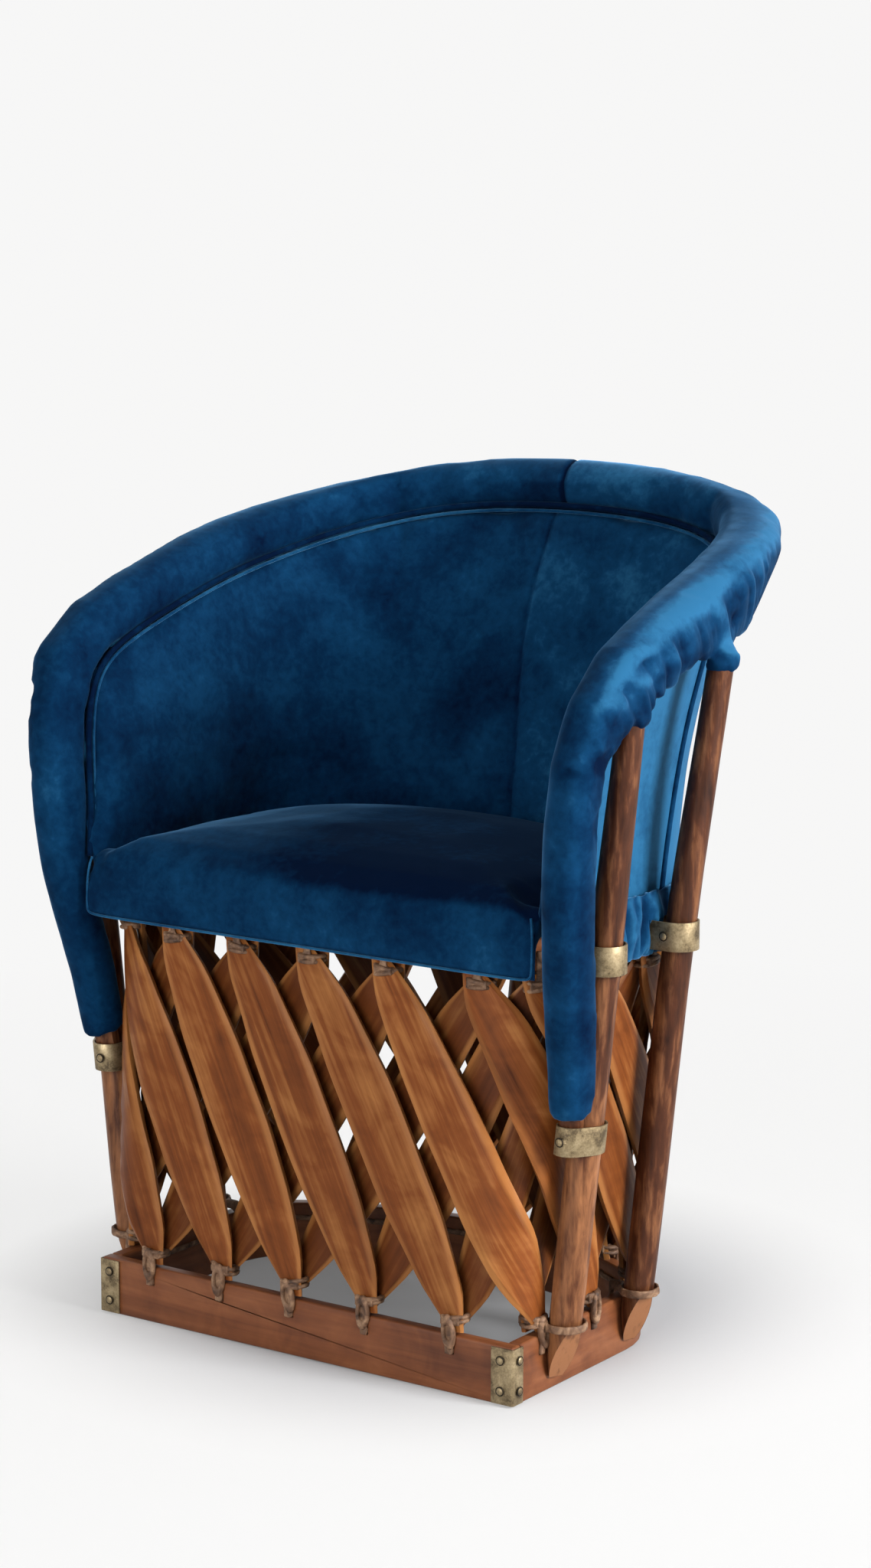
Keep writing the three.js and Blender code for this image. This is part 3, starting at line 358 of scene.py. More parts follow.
def cloud(rows: np.ndarray, waves: Spot | float, seed: float, octaves: int = 2) -> np.ndarray:
    """Smooth noise from about -1 to 1 at each row.

    Args:
        rows: Points.
        waves: How many waves to the metre, alike or along x, y and z.
        seed: A shift that makes one pattern differ from the next.
        octaves: How many finer layers are added.

    Returns:
        One value for each point.
    """
    scaled = rows * np.array(waves) + seed
    return np.array([noise.fractal(Vector(p), 1.0, 2.0, octaves) for p in scaled])


# Finishes


class Wiring:
    """A node tree, built a node at a time."""

    def __init__(self, tree: bpy.types.NodeTree) -> None:
        """Take up a tree."""
        self.tree = tree

    def add(self, kind: str, **values: object) -> bpy.types.Node:
        """Add a node and set its properties, or its sockets where a name has a capital.

        Args:
            kind: The node's type.
            values: Its properties and sockets by name.

        Returns:
            The node.
        """
        node = self.tree.nodes.new(kind)
        for name, value in values.items():
            if name[0].isupper():
                node.inputs[name.replace("_", " ")].default_value = value
            else:
                setattr(node, name, value)
        return node

    def link(self, source: Socket, target: Socket) -> None:
        """Link two sockets."""
        self.tree.links.new(source, target)

    def place_of(self, source: str, scale: Sequence[float]) -> Socket:
        """Scaled Object coordinates, or those in the attribute named source.

        Args:
            source: The word object, or an attribute.
            scale: The factors on x, y and z.

        Returns:
            The scaled place.
        """
        if source == "object":
            node = self.add("ShaderNodeTexCoord")
            base = node.outputs["Object"]
        else:
            node = self.add("ShaderNodeAttribute", attribute_name=source)
            base = node.outputs["Vector"]
        mapping = self.add("ShaderNodeMapping")
        mapping.inputs["Scale"].default_value = tuple(scale)
        self.link(base, mapping.inputs["Vector"])
        return mapping.outputs["Vector"]

    def noise(self, vector: Socket, scale: float, detail: float = 3.0,
              roughness: float = 0.5, distortion: float = 0.0) -> Socket:
        """A noise texture's value on a vector.

        Args:
            vector: The place.
            scale: Waves to the metre.
            detail: How many finer layers it has.
            roughness: How strong they are.
            distortion: How far it is bent.

        Returns:
            The noise, from 0 to 1.
        """
        node = self.add("ShaderNodeTexNoise", Scale=scale, Detail=detail, Roughness=roughness,
                        Distortion=distortion)
        self.link(vector, node.inputs["Vector"])
        return node.outputs["Fac"]

    def ramp(self, value: Socket, stops: Sequence[float], *colours: Colour) -> Socket:
        """A colour ramp over a value.

        Args:
            value: The value.
            stops: The values at which the colours stand.
            colours: A colour for each stop.

        Returns:
            The colour.
        """
        node = self.add("ShaderNodeValToRGB")
        elements = node.color_ramp.elements
        while len(elements) < len(stops):
            elements.new(0.5)
        for element, position, colour in zip(elements, stops, colours):
            element.position = position
            element.color = (*colour, 1.0)
        self.link(value, node.inputs["Fac"])
        return node.outputs["Color"]

    def spread(self, value: Socket, low: float, high: float,
               to_low: float = 0.0, to_high: float = 1.0) -> Socket:
        """A value mapped from one range to another and held inside it.

        Args:
            value: The value.
            low: Where its range starts.
            high: Where its range ends.
            to_low: What the start becomes.
            to_high: What the end becomes.

        Returns:
            The mapped value.
        """
        node = self.add("ShaderNodeMapRange", From_Min=low, From_Max=high, To_Min=to_low, To_Max=to_high)
        self.link(value, node.inputs["Value"])
        return node.outputs["Result"]

    def combine(self, operation: str, first: Socket,
                second: Socket | float) -> Socket:
        """A math node on one value and another value or number.

        Args:
            operation: The node's operation, such as ADD.
            first: The first value.
            second: The second value or a number.

        Returns:
            The result.
        """
        node = self.add("ShaderNodeMath", operation=operation)
        self.link(first, node.inputs[0])
        if isinstance(second, float):
            node.inputs[1].default_value = second
        else:
            self.link(second, node.inputs[1])
        return node.outputs["Value"]

    def weigh(self, *parts: tuple[Socket, float]) -> Socket:
        """The sum of several values.

        Args:
            parts: Each value with its share.

        Returns:
            The sum.
        """
        total = None
        for value, share in parts:
            term = self.combine("MULTIPLY", value, share)
            total = term if total is None else self.combine("ADD", total, term)
        return total

    def seen_by(self, *kinds: str) -> Socket:
        """1 for rays of some kinds and 0 for the rest.

        Args:
            kinds: The kinds of ray, such as Camera.

        Returns:
            The value.
        """
        rays = self.add("ShaderNodeLightPath")
        seen = rays.outputs[f"Is {kinds[0]} Ray"]
        for kind in kinds[1:]:
            seen = self.combine("MAXIMUM", seen, rays.outputs[f"Is {kind} Ray"])
        return seen

    def blend(self, part: Socket, first: Socket | Colour, second: Socket | Colour) -> Socket:
        """A mix of two colours.

        Args:
            part: The share of the second colour.
            first: The first colour.
            second: The second colour.

        Returns:
            The mixed colour.
        """
        node = self.add("ShaderNodeMix", data_type="RGBA")
        self.link(part, node.inputs["Factor"])
        for socket, value in (("A", first), ("B", second)):
            target = [s for s in node.inputs if s.name == socket and s.type == "RGBA"][0]
            if isinstance(value, tuple):
                target.default_value = (*value, 1.0)
            else:
                self.link(value, target)
        return [s for s in node.outputs if s.type == "RGBA"][0]

    def value(self, name: str) -> Socket:
        """A number attribute of the mesh."""
        return self.add("ShaderNodeAttribute", attribute_name=name).outputs["Fac"]

    def bump(self, height: Socket, strength: float, distance: float,
             after: Socket | None = None) -> Socket:
        """A bump from a height, over another bump if there is one.

        Args:
            height: The height.
            strength: How strong the bump is.
            distance: How high it is in metres.
            after: The bump below it.

        Returns:
            The bent normal.
        """
        node = self.add("ShaderNodeBump", Strength=strength, Distance=distance)
        self.link(height, node.inputs["Height"])
        if after is not None:
            self.link(after, node.inputs["Normal"])
        return node.outputs["Normal"]


class Recipe(Wiring):
    """A material's node tree with its Principled shader."""

    def __init__(self, name: str) -> None:
        """Start an empty material.

        Args:
            name: The material's name.
        """
        self.material = bpy.data.materials.new(name)
        self.material.use_nodes = True
        super().__init__(self.material.node_tree)
        self.tree.nodes.clear()
        self.output = self.add("ShaderNodeOutputMaterial")
        self.shader = self.add("ShaderNodeBsdfPrincipled")
        self.link(self.shader.outputs["BSDF"], self.output.inputs["Surface"])

    def shade(self, colour: Socket, normal: Socket, roughness: Socket, **constants: object) -> Material:
        """Feed the shader and hand over the material.

        Args:
            colour: The base colour.
            normal: The bent normal.
            roughness: The roughness.
            constants: Other sockets by name.

        Returns:
            The material.
        """
        for name, source in (("Base Color", colour), ("Normal", normal), ("Roughness", roughness)):
            self.link(source, self.shader.inputs[name])
        for name, value in constants.items():
            self.shader.inputs[name.replace("_", " ")].default_value = value
        return self.material


@dataclass(frozen=True)
class VelvetFinish:
    """Blue velvet with a brushed, cloudy nap, lightened and darkened by painted light and shade."""

    name: str = "velvet_blue"
    deep: Colour = (0.0002, 0.0045, 0.02)
    body: Colour = (0.0006, 0.0155, 0.049)
    # The upper colours are reached both by brushed nap and by painted light.
    raised_and_lit: Colour = (0.002, 0.03, 0.083)
    brushed: Colour = (0.014, 0.09, 0.19)
    stops: tuple[float, ...] = (0.3, 0.46, 0.6, 0.82)
    sheen: Colour = (0.2, 0.5, 0.88)
    sheen_flat_and_shaded: float = 0.06
    sheen_raised_and_lit: float = 0.75
    sheen_roughness: float = 0.36
    nap_scale: float = 10.0
    streak_scale: float = 20.0
    fine_scale: float = 110.0
    pile_scale: float = 900.0
    nap_and_painted_light_share: float = 0.16

    def build(self) -> Material:
        """Make the material.

        Returns:
            The material, ready to be worn.
        """
        r = Recipe(self.name)
        spot = r.place_of("object", (1, 1, 1))
        streak = r.place_of("object", (1, 1, 0.6))
        nap = r.noise(spot, self.nap_scale, detail=2.5, distortion=0.5)
        brush = r.noise(streak, self.streak_scale, distortion=0.4)
        fine = r.noise(spot, self.fine_scale, roughness=0.6, distortion=0.3)
        # The nap attribute holds random nap strokes with painted light and shade; it moves the tone and
        # raises the sheen where light is painted.
        raised_and_lit = r.value("nap")
        tone = r.weigh((nap, 0.4), (brush, 0.3), (fine, 0.3), (raised_and_lit, self.nap_and_painted_light_share))
        colour = r.ramp(tone, self.stops, self.deep, self.body, self.raised_and_lit, self.brushed)
        pile = r.noise(spot, self.pile_scale, detail=2.0, roughness=0.6)
        pile = r.bump(pile, strength=0.1, distance=0.0005)
        soft = r.bump(brush, strength=0.12, distance=0.003, after=pile)
        rough = r.spread(tone, 0.3, 0.7, 0.92, 0.72)
        sheen = r.spread(raised_and_lit, -0.8, 1.2, self.sheen_flat_and_shaded, self.sheen_raised_and_lit)
        r.link(sheen, r.shader.inputs["Sheen Weight"])
        return r.shade(colour, soft, rough, Sheen_Roughness=self.sheen_roughness,
                       Sheen_Tint=(*self.sheen, 1.0), Specular_IOR_Level=0.03)


@dataclass(frozen=True)
class CedarFinish:
    """Varnished cedar with long grain."""

    name: str
    dark: Colour
    body: Colour
    light: Colour
    stops: tuple[float, ...] = (0.34, 0.5, 0.68)
    grain: Grain = Grain.OWN
    across: float = 120.0
    along: float = 5.0
    band_share: float = 0.22
    mottle: float = 0.25
    blotch_scale: float = 22.0
    pale_gain: float = 0.22
    tone_and_shade_share: float = 0.75
    shaved_share: float = 0.5
    roughness: float = 0.42
    coat: float = 0.07
    shine: float = 0.22

    def build(self) -> Material:
        """Make the material.

        Returns:
            The material, ready to be worn.
        """
        r = Recipe(self.name)
        ratio = self.along / self.across
        source = "grain" if self.grain is Grain.OWN else "object"
        fibre_place = r.place_of(source, (ratio, 1, 1) if self.grain is Grain.LEVEL else (1, 1, ratio))
        plain_place = r.place_of(source, (1, 1, 0.45 if self.grain is Grain.ROD else 1))
        fibre = r.noise(fibre_place, self.across, detail=6.0, roughness=0.62, distortion=0.35)
        band = r.noise(fibre_place, self.across * self.band_share, roughness=0.55, distortion=1.4)
        blotch = r.noise(plain_place, self.blotch_scale, roughness=0.6, distortion=0.6)
        tone = r.weigh((fibre, 0.45), (band, 0.55))
        mixed = r.weigh((tone, 1.0 - self.mottle), (blotch, self.mottle))
        if self.grain is Grain.ROD:
            mixed = r.combine("ADD", mixed, r.spread(r.value("pale"), 0.0, 2.0, 0.0, self.pale_gain))
        wood = r.ramp(mixed, self.stops, self.dark, self.body, self.light)
        if self.grain is Grain.OWN:
            # The tone attribute darkens the wood: a random tone, and painted shade on the inner slats.
            wood = r.blend(r.spread(r.value("tone"), 0.0, 1.0, 0.0, self.tone_and_shade_share), wood, self.dark)
            # The shaved attribute lightens the shaved edges: paler shaved wood, and partly a painted
            # highlight.
            wood = r.blend(r.spread(r.value("shaved"), 0.0, 1.0, 0.0, self.shaved_share), wood, self.light)
        lines = r.bump(fibre, strength=0.22, distance=0.0006)
        dents = r.bump(blotch, strength=0.2, distance=0.002, after=lines)
        rough = r.spread(mixed, 0.3, 0.7, self.roughness + 0.1, self.roughness - 0.06)
        return r.shade(wood, dents, rough, Coat_Weight=self.coat, Coat_Roughness=0.3,
                       Specular_IOR_Level=self.shine)


@dataclass(frozen=True)
class LeatherFinish:
    """Dry brown rawhide with fine creases."""

    name: str = "rawhide_brown"
    dark: Colour = (0.04, 0.018, 0.009)
    body: Colour = (0.15, 0.078, 0.042)
    light: Colour = (0.33, 0.2, 0.115)
    stops: tuple[float, ...] = (0.35, 0.52, 0.7)
    blotch_scale: float = 70.0
    crease_scale: float = 420.0

    def build(self) -> Material:
        """Make the material.

        Returns:
            The material, ready to be worn.
        """
        r = Recipe(self.name)
        spot = r.place_of("object", (1, 1, 1))
        blotch = r.noise(spot, self.blotch_scale, detail=4.0, roughness=0.6, distortion=0.8)
        crease = r.noise(spot, self.crease_scale, detail=4.0, roughness=0.65, distortion=1.5)
        colour = r.ramp(blotch, self.stops, self.dark, self.body, self.light)
        height = r.bump(crease, strength=0.5, distance=0.0008)
        rough = r.spread(crease, 0.3, 0.7, 0.7, 0.5)
        return r.shade(colour, height, rough, Specular_IOR_Level=0.35)


@dataclass(frozen=True)
class BrassFinish:
    """Dull antique brass with a khaki patina."""

    name: str = "antique_brass"
    dark: Colour = (0.085, 0.06, 0.032)
    body: Colour = (0.24, 0.18, 0.098)
    bright: Colour = (0.42, 0.335, 0.2)
    rim: Colour = (0.02, 0.014, 0.008)
    stops: tuple[float, ...] = (0.36, 0.5, 0.7)
    patina_scale: float = 60.0
    wear_scale: float = 480.0

    def build(self) -> Material:
        """Make the material.

        Returns:
            The material, ready to be worn.
        """
        r = Recipe(self.name)
        spot = r.place_of("object", (1, 1, 1))
        patina = r.noise(spot, self.patina_scale, detail=4.0, roughness=0.6, distortion=0.3)
        wear = r.noise(spot, self.wear_scale, roughness=0.6, distortion=0.3)
        tone = r.weigh((patina, 0.7), (wear, 0.3))
        colour = r.ramp(tone, self.stops, self.dark, self.body, self.bright)
        colour = r.blend(r.value("rim"), colour, self.rim)
        height = r.bump(wear, strength=0.2, distance=0.0004)
        height = r.bump(patina, strength=0.18, distance=0.001, after=height)
        rough = r.spread(tone, 0.3, 0.7, 0.62, 0.4)
        return r.shade(colour, height, rough, Metallic=0.7)


class Finishes:
    """Every finish of the chair, made once."""

    def __init__(self) -> None:
        """Build the materials."""
        self.velvet = VelvetFinish().build()
        slat_tones = ((0.05, 0.012, 0.003), (0.19, 0.054, 0.012), (0.45, 0.195, 0.058))
        board_tones = ((0.06, 0.017, 0.007), (0.16, 0.051, 0.018), (0.27, 0.1, 0.038))
        rod_tones = ((0.014, 0.0045, 0.002), (0.062, 0.019, 0.0075), (0.26, 0.108, 0.044))
        self.slat = CedarFinish("cedar_slats", *slat_tones, coat=0.02, shine=0.1).build()
        self.hoop = CedarFinish("cedar_hoops", *board_tones, across=90.0, along=4.0, mottle=0.3).build()
        self.board = CedarFinish("cedar_front_board", *board_tones, grain=Grain.LEVEL, across=90.0,
                                 along=4.0, mottle=0.3).build()
        self.rod = CedarFinish("cedar_rods", *rod_tones, grain=Grain.ROD, across=170.0, along=24.0,
                               mottle=0.16, blotch_scale=60.0, coat=0.05, shine=0.15).build()
        self.leather = LeatherFinish().build()
        self.brass = BrassFinish().build()


# Camera and studio


@dataclass
class PhotoCamera:
    """The camera at the photograph's place."""

    place: Spot = (1.9444, -2.8196, 1.0996)
    azimuth: float = 34.736
    pitch: float = 9.337
    roll: float = 0.251
    lens: float = 78.76
    sensor: float = 36.0
    clip: Span = (0.1, 60.0)

    def build(self) -> None:
        """Make the camera and set it as the scene's own."""
        a, p, r = (math.radians(x) for x in (self.azimuth, self.pitch, self.roll))
        right = Vector((math.cos(a), math.sin(a), 0))
        ahead = Vector((-math.sin(a) * math.cos(p), math.cos(a) * math.cos(p), -math.sin(p)))
        up = right.cross(ahead)
        x = right * math.cos(r) + up * math.sin(r)
        y = up * math.cos(r) - right * math.sin(r)
        turn = Matrix((x, y, -ahead)).transposed().to_4x4()
        data = bpy.data.cameras.new("photo_camera")
        data.lens = self.lens
        data.sensor_width = self.sensor
        data.clip_start, data.clip_end = self.clip
        camera = add_object("photo_camera", data)
        camera.matrix_world = Matrix.Translation(self.place) @ turn
        bpy.context.scene.camera = camera


@dataclass
class Studio:
    """A pale round sweep with soft lamps."""

    disc_radius: float = 0.4
    middle_radius: float = 1.2
    floor_radius: float = 5.6
    sweep_radius: float = 1.8
    wall_height: float = 5.0
    sink: float = 0.0006
    sides: int = 96
    arc_steps: int = 8
    pale: Colour = (0.78, 0.775, 0.77)
    shaded: Colour = (0.42, 0.43, 0.45)
    glow: Colour = (0.93, 0.928, 0.925)
    inside_share: float = 0.12
    near_share: float = 0.82
    inside_reach: float = 0.24
    near_reach: float = 0.5
    white_reach: float = 1.7
    world_level: float = 0.1
    seen_level: float = 0.93
    aim: Spot = (0.0, 0.0, 0.4)
    lamps: tuple[tuple[str, Spot, float, float], ...] = (
        ("key_softbox", (3.4, 0.1, 1.7), 1.3, 225.0),
        ("front_softbox", (0.2, -3.8, 1.2), 1.8, 80.0),
        ("top_softbox", (0.2, 0.9, 3.2), 2.0, 10.0),
    )

    def build(self) -> None:
        """Make the sweep, the lamps and the world."""
        self._sweep()
        for name, spot, size, power in self.lamps:
            self._lamp(name, Vector(spot), size, power)
        self._world()
        bpy.context.scene.view_settings.view_transform = "Standard"

    def _rings(self) -> list[Span]:
        """The radius and height of each ring of the sweep, from the floor to the wall's top.

        Returns:
            The rings, from the floor's middle to the wall's top.
        """
        turns = [math.pi / 2 * i / self.arc_steps for i in range(1, self.arc_steps + 1)]
        rise = [(self.floor_radius + self.sweep_radius * math.sin(t), self.sweep_radius * (1 - math.cos(t)))
                for t in turns]
        return [(self.middle_radius, 0.0), (self.floor_radius, 0.0), *rise,
                (self.floor_radius + self.sweep_radius, self.wall_height)]

    def _sweep(self) -> None:
        """Spin the floor and wall's profile into a round sweep."""
        deselect_all()
        bpy.ops.mesh.primitive_circle_add(vertices=self.sides, radius=self.disc_radius, fill_type="NGON",
                                          location=(0, 0, -self.sink))
        sweep = bpy.context.object
        sweep.name = "studio_sweep"
        bpy.ops.object.mode_set(mode="EDIT")
        bpy.ops.mesh.select_mode(type="EDGE")
        self._select_rim(sweep)
        radius, height = self.disc_radius, 0.0
        for wide, high in self._rings():
            bpy.ops.mesh.extrude_region_move(TRANSFORM_OT_translate={"value": (0, 0, high - height)})
            share = wide / radius
            bpy.ops.transform.resize(value=(share, share, 1), center_override=(0, 0, 0))
            radius, height = wide, high
        bpy.ops.object.mode_set(mode="OBJECT")
        rest_at_origin(sweep)
        smooth_by_angle(sweep, 40)
        if sweep.data.polygons[0].normal.z < 0:
            sweep.data.flip_normals()
        sweep.data.materials.append(self._sweep_material())

    @staticmethod
    def _select_rim(sweep: Piece) -> None:
        """Select the outer edge loop of the sweep's first disc.

        Args:
            sweep: The disc, in edit mode.
        """
        bpy.ops.mesh.select_all(action="DESELECT")
        mesh = bmesh.from_edit_mesh(sweep.data)
        for edge in mesh.edges:
            edge.select = edge.is_boundary
        mesh.select_flush_mode()
        bmesh.update_edit_mesh(sweep.data)

    def _sweep_material(self) -> Material:
        """A pale floor that keeps the shadow and turns plain white far off.

        Returns:
            The material.
        """
        r = Recipe("studio_paper")
        r.shader.inputs["Roughness"].default_value = 0.7
        r.shader.inputs["Specular IOR Level"].default_value = 0.1
        length = r.add("ShaderNodeVectorMath", operation="LENGTH")
        r.link(r.place_of("object", (1, 1, 1)), length.inputs[0])
        away = length.outputs["Value"]
        near = r.spread(away, self.inside_reach, self.near_reach, self.inside_share, self.near_share)
        # Painted shade: the floor under the chair is a darker grey, turning pale further out.
        dim = r.spread(away, self.inside_reach, self.near_reach)
        r.link(r.blend(dim, self.shaded, self.pale), r.shader.inputs["Base Color"])
        far = r.spread(away, self.near_reach, self.white_reach, 0.0, 1.0 - self.near_share)
        far = r.combine("ADD", near, far)
        part = r.combine("MULTIPLY", far, r.seen_by("Camera", "Glossy", "Transmission"))
        glow = r.add("ShaderNodeEmission", Color=(*self.glow, 1.0), Strength=1.0)
        mix = r.add("ShaderNodeMixShader")
        r.link(part, mix.inputs["Fac"])
        r.link(r.shader.outputs["BSDF"], mix.inputs[1])
        r.link(glow.outputs["Emission"], mix.inputs[2])
        r.link(mix.outputs["Shader"], r.output.inputs["Surface"])
        return r.material

    def _lamp(self, name: str, spot: Vector, size: float, power: float) -> None:
        """Add a square soft lamp that faces the chair.

        Args:
            name: The lamp's name.
            spot: Where it stands.
            size: Its side.
            power: Its power in watts.
        """
        data = bpy.data.lights.new(name, "AREA")
        data.size = size
        data.energy = power
        lamp = add_object(name, data)
        lamp.location = spot
        lamp.rotation_euler = (Vector(self.aim) - spot).to_track_quat("-Z", "Y").to_euler()

    def _world(self) -> None:
        """A white world, weaker as a light than as it is seen."""
        world = bpy.data.worlds.new("studio_world")
        bpy.context.scene.world = world
        world.use_nodes = True
        wiring = Wiring(world.node_tree)
        back = world.node_tree.nodes["Background"]
        back.inputs["Color"].default_value = (1, 1, 1, 1)
        seen = wiring.seen_by("Camera", "Glossy")
        wiring.link(wiring.spread(seen, 0.0, 1.0, self.world_level, self.seen_level),
                    back.inputs["Strength"])


# The barrel's shape


@dataclass(frozen=True)
class HoopPlan:
    """A hoop's outline from above: straight front and sides, turned corners and a bowed back."""

    half_width: float
    front: float
    front_radius: float
    side_end: float
    corner_radius: float
    corner_turn: float = math.pi / 3
    arc_steps: int = 6
    front_step: float = 0.018

    def outline(self, inset: float) -> list[Vector]:
        """The closed outline, anticlockwise from the right front corner, moved in by an inset.

        Args:
            inset: How far inside the plan it runs.

        Returns:
            The points in order.
        """
        centre_x = self.half_width - self.front_radius
        steps = max(math.ceil(self.front_radius / self.front_step), 1)
        right = self._arc(centre_x, self.front + self.front_radius, self.front_radius - inset,
                          -math.pi / 2, 0.0, steps)
        end_x = self.half_width - self.corner_radius + self.corner_radius * math.cos(self.corner_turn)
        end_y = self.side_end + self.corner_radius * math.sin(self.corner_turn)
        back_turn = math.pi / 2 - self.corner_turn
        back_radius = end_x / math.sin(back_turn)
        back_centre = end_y - back_radius * math.cos(back_turn)
        right += self._arc(self.half_width - self.corner_radius, self.side_end,
                           self.corner_radius - inset, 0.0, self.corner_turn, self.arc_steps)
        right += self._arc(0.0, back_centre, back_radius - inset, self.corner_turn,
                           math.pi / 2, self.arc_steps)[1:]
        left = [Vector((-p.x, p.y)) for p in reversed(right[:-1])]
        return right + left

    @staticmethod
    def _arc(x: float, y: float, radius: float, start: float, end: float, steps: int) -> list[Vector]:
        """Points along an arc."""
        turns = (start + (end - start) * i / steps for i in range(steps + 1))
        return [Vector((x + radius * math.cos(t), y + radius * math.sin(t))) for t in turns]


class HoopPath:
    """A hoop plan at one inset, walked by shares of its length from the middle of the front."""

    def __init__(self, plan: HoopPlan, inset: float, reach: float = 0.012) -> None:
        """Measure the path.

        Args:
            plan: The hoop's plan.
            inset: How far inside the plan the path runs.
            reach: The run over which the way out is evened.
        """
        start = Vector((0.0, plan.front + inset))
        self.points = [start, *plan.outline(inset), start]
        steps = [(b - a).length for a, b in zip(self.points, self.points[1:])]
        self.walked = np.concatenate([[0.0], np.cumsum(steps)])
        self.length = float(self.walked[-1])
        self.reach = reach / self.length

    def point(self, share: float) -> Vector:
        """The point at a share of the way round.

        Args:
            share: The share of the way round.

        Returns:
            The point.
        """
        run = (share % 1.0) * self.length
        i = min(int(np.searchsorted(self.walked, run, side="right")) - 1, len(self.points) - 2)
        part = (run - self.walked[i]) / (self.walked[i + 1] - self.walked[i])
        return self.points[i].lerp(self.points[i + 1], part)

    def out(self, share: float) -> Vector:
        """The way out of the hoop at a share of the way round."""
        along = (self.point(share + self.reach) - self.point(share - self.reach)).normalized()
        return Vector((along.y, -along.x))

    def share_near(self, x: float, y: float) -> float:
        """The share of the way round that lies closest to a point.

        Args:
            x: The point's x.
            y: The point's y.

        Returns:
            The share, from 0 to 1.
        """
        here = np.array([[p.x, p.y] for p in self.points])
        a, b = here[:-1], here[1:]
        run = b - a
        part = np.clip(((np.array([x, y]) - a) * run).sum(1) / (run * run).sum(1), 0, 1)
        gap = np.linalg.norm(a + run * part[:, None] - np.array([x, y]), axis=1)
        i = int(gap.argmin())
        return float((self.walked[i] + part[i] * (self.walked[i + 1] - self.walked[i])) / self.length)


@dataclass
class SlatBarrel:
    """Thirty-two crossing slats on the ruled surface between the base and the seat hoop."""

    finish: Material
    base_plan: HoopPlan = HoopPlan(0.25, 0.0, 0.035, 0.206, 0.09)
    seat_plan: HoopPlan = HoopPlan(0.275, 0.012, 0.09, 0.217, 0.13)
    base_inset: float = 0.009
    seat_inset: float = 0.007
    base_height: float = 0.07225
    seat_height: float = 0.39775
    width: float = 0.074
    thickness: float = 0.007
    tip: float = 0.011
    layer_space: float = 0.0015
    side_space: float = 0.006
    inner_bow: float = 0.011
    step: int = 2
    shaved_share: float = 0.72
    shaved_depth: float = 0.0028
    face_loss: float = 0.0012
    edge: float = 0.0007
    sway: float = 0.018
    ripple: float = 0.01
    core: Spot = (0.0, -0.05, 0.0)
    widths: Table = (
        (0, 0.23), (0.05, 0.4), (0.11, 0.64), (0.3, 0.93), (0.5, 1), (0.68, 0.97), (0.89, 0.73),
        (0.95, 0.5), (1, 0.28),
    )
    base_knots: tuple[float, ...] = (
        0.8704, 0.9318, 0.9918, 0.0546, 0.1242, 0.187, 0.2511, 0.3173,
        0.377, 0.436, 0.4785, 0.5455, 0.614, 0.6827, 0.7489, 0.813,
    )
    seat_knots: tuple[float, ...] = (
        0.8943, 0.9465, 0.0019, 0.06, 0.1277, 0.1635, 0.2079, 0.2666,
        0.344, 0.4215, 0.495, 0.5685, 0.647, 0.7334, 0.7921, 0.842,
    )
    columns: tuple[float, ...] = (-1, -0.86, -0.72, -0.4, 0, 0.4, 0.72, 0.86, 1)
    rows: int = 30
    fine: int = 61

    def __post_init__(self) -> None:
        """Measure the two hoops."""
        self.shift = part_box("base_front_board")[0].y
        self.base = HoopPath(self.base_plan, self.base_inset)
        self.seat = HoopPath(self.seat_plan, self.seat_inset)

    def surface(self, share: float, rise: float, offset: float) -> Vector:
        """A point on the barrel.

        Args:
            share: The share of the way round.
            rise: 0 at the base knots and 1 at the seat knots.
            offset: How far outside the surface the point lies.

        Returns:
            The point in the model's frame.
        """
        low = self.base.point(share).to_3d() + Vector((0, 0, self.base_height))
        high = self.seat.point(share).to_3d() + Vector((0, 0, self.seat_height))
        climb = (high - low).normalized()
        out = self.base.out(share).lerp(self.seat.out(share), rise).to_3d()
        out = (out - climb * out.dot(climb)).normalized()
        return low.lerp(high, rise) + out * offset + Vector((0, self.shift, 0))

    def build(self) -> list[Piece]:
        """Make every slat."""
        return [self._slat(i, layer) for i in range(len(self.seat_knots)) for layer in Layer]

    def ends(self, number: int, layer: Layer) -> tuple[float, float]:
        """The shares of the way round at a slat's lower and upper knots.

        Args:
            number: The slat's place round the seat, from 0.
            layer: The layer that it lies in.

        Returns:
            The lower and the upper share.
        """
        count = len(self.seat_knots)
        high = self.seat_knots[number % count]
        low = self.base_knots[(number + count + layer.value * self.step) % count]
        return low + round(high - low), high

    def share_at(self, number: int, layer: Layer, rise: float) -> float:
        """The share of the way round at which a slat's middle lies at one height."""
        low, high = self.ends(number, layer)
        return low + (high - low) * rise

    def room(self, number: int, layer: Layer, rise: float) -> float:
        """How wide a slat can be at one height before it meets the next of its layer.

        Args:
            number: The slat's place round the seat, from 0.
            layer: The layer that it lies in.
            rise: 0 at the base knots and 1 at the seat knots.

        Returns:
            The width.
        """
        around = self.base.length + (self.seat.length - self.base.length) * rise
        here = self.share_at(number, layer, rise)
        gaps = []
        for step in (-1, 1):
            apart = here - self.share_at(number + step, layer, rise)
            gaps.append(abs(apart - round(apart)) * around)
        return min(gaps) - self.side_space

    def profile(self, number: int, layer: Layer) -> np.ndarray:
        """A slat's width from its foot to its top, rounded where its plan has corners.

        Args:
            number: The slat's place round the seat, from 0.
            layer: The layer that it lies in.

        Returns:
            The widths at even steps.
        """
        tip = self.tip / (self.seat_height - self.base_height)
        widths = []
        for part, share in self.widths:
            rise = -tip + (1 + 2 * tip) * part
            widths.append(min(self.width * share, self.room(number, layer, rise)))
        line = np.interp(np.linspace(0, 1, self.fine), [part for part, _ in self.widths], widths)
        for _ in range(3):
            line[1:-1] = (line[:-2] + 2 * line[1:-1] + line[2:]) / 4
        return line

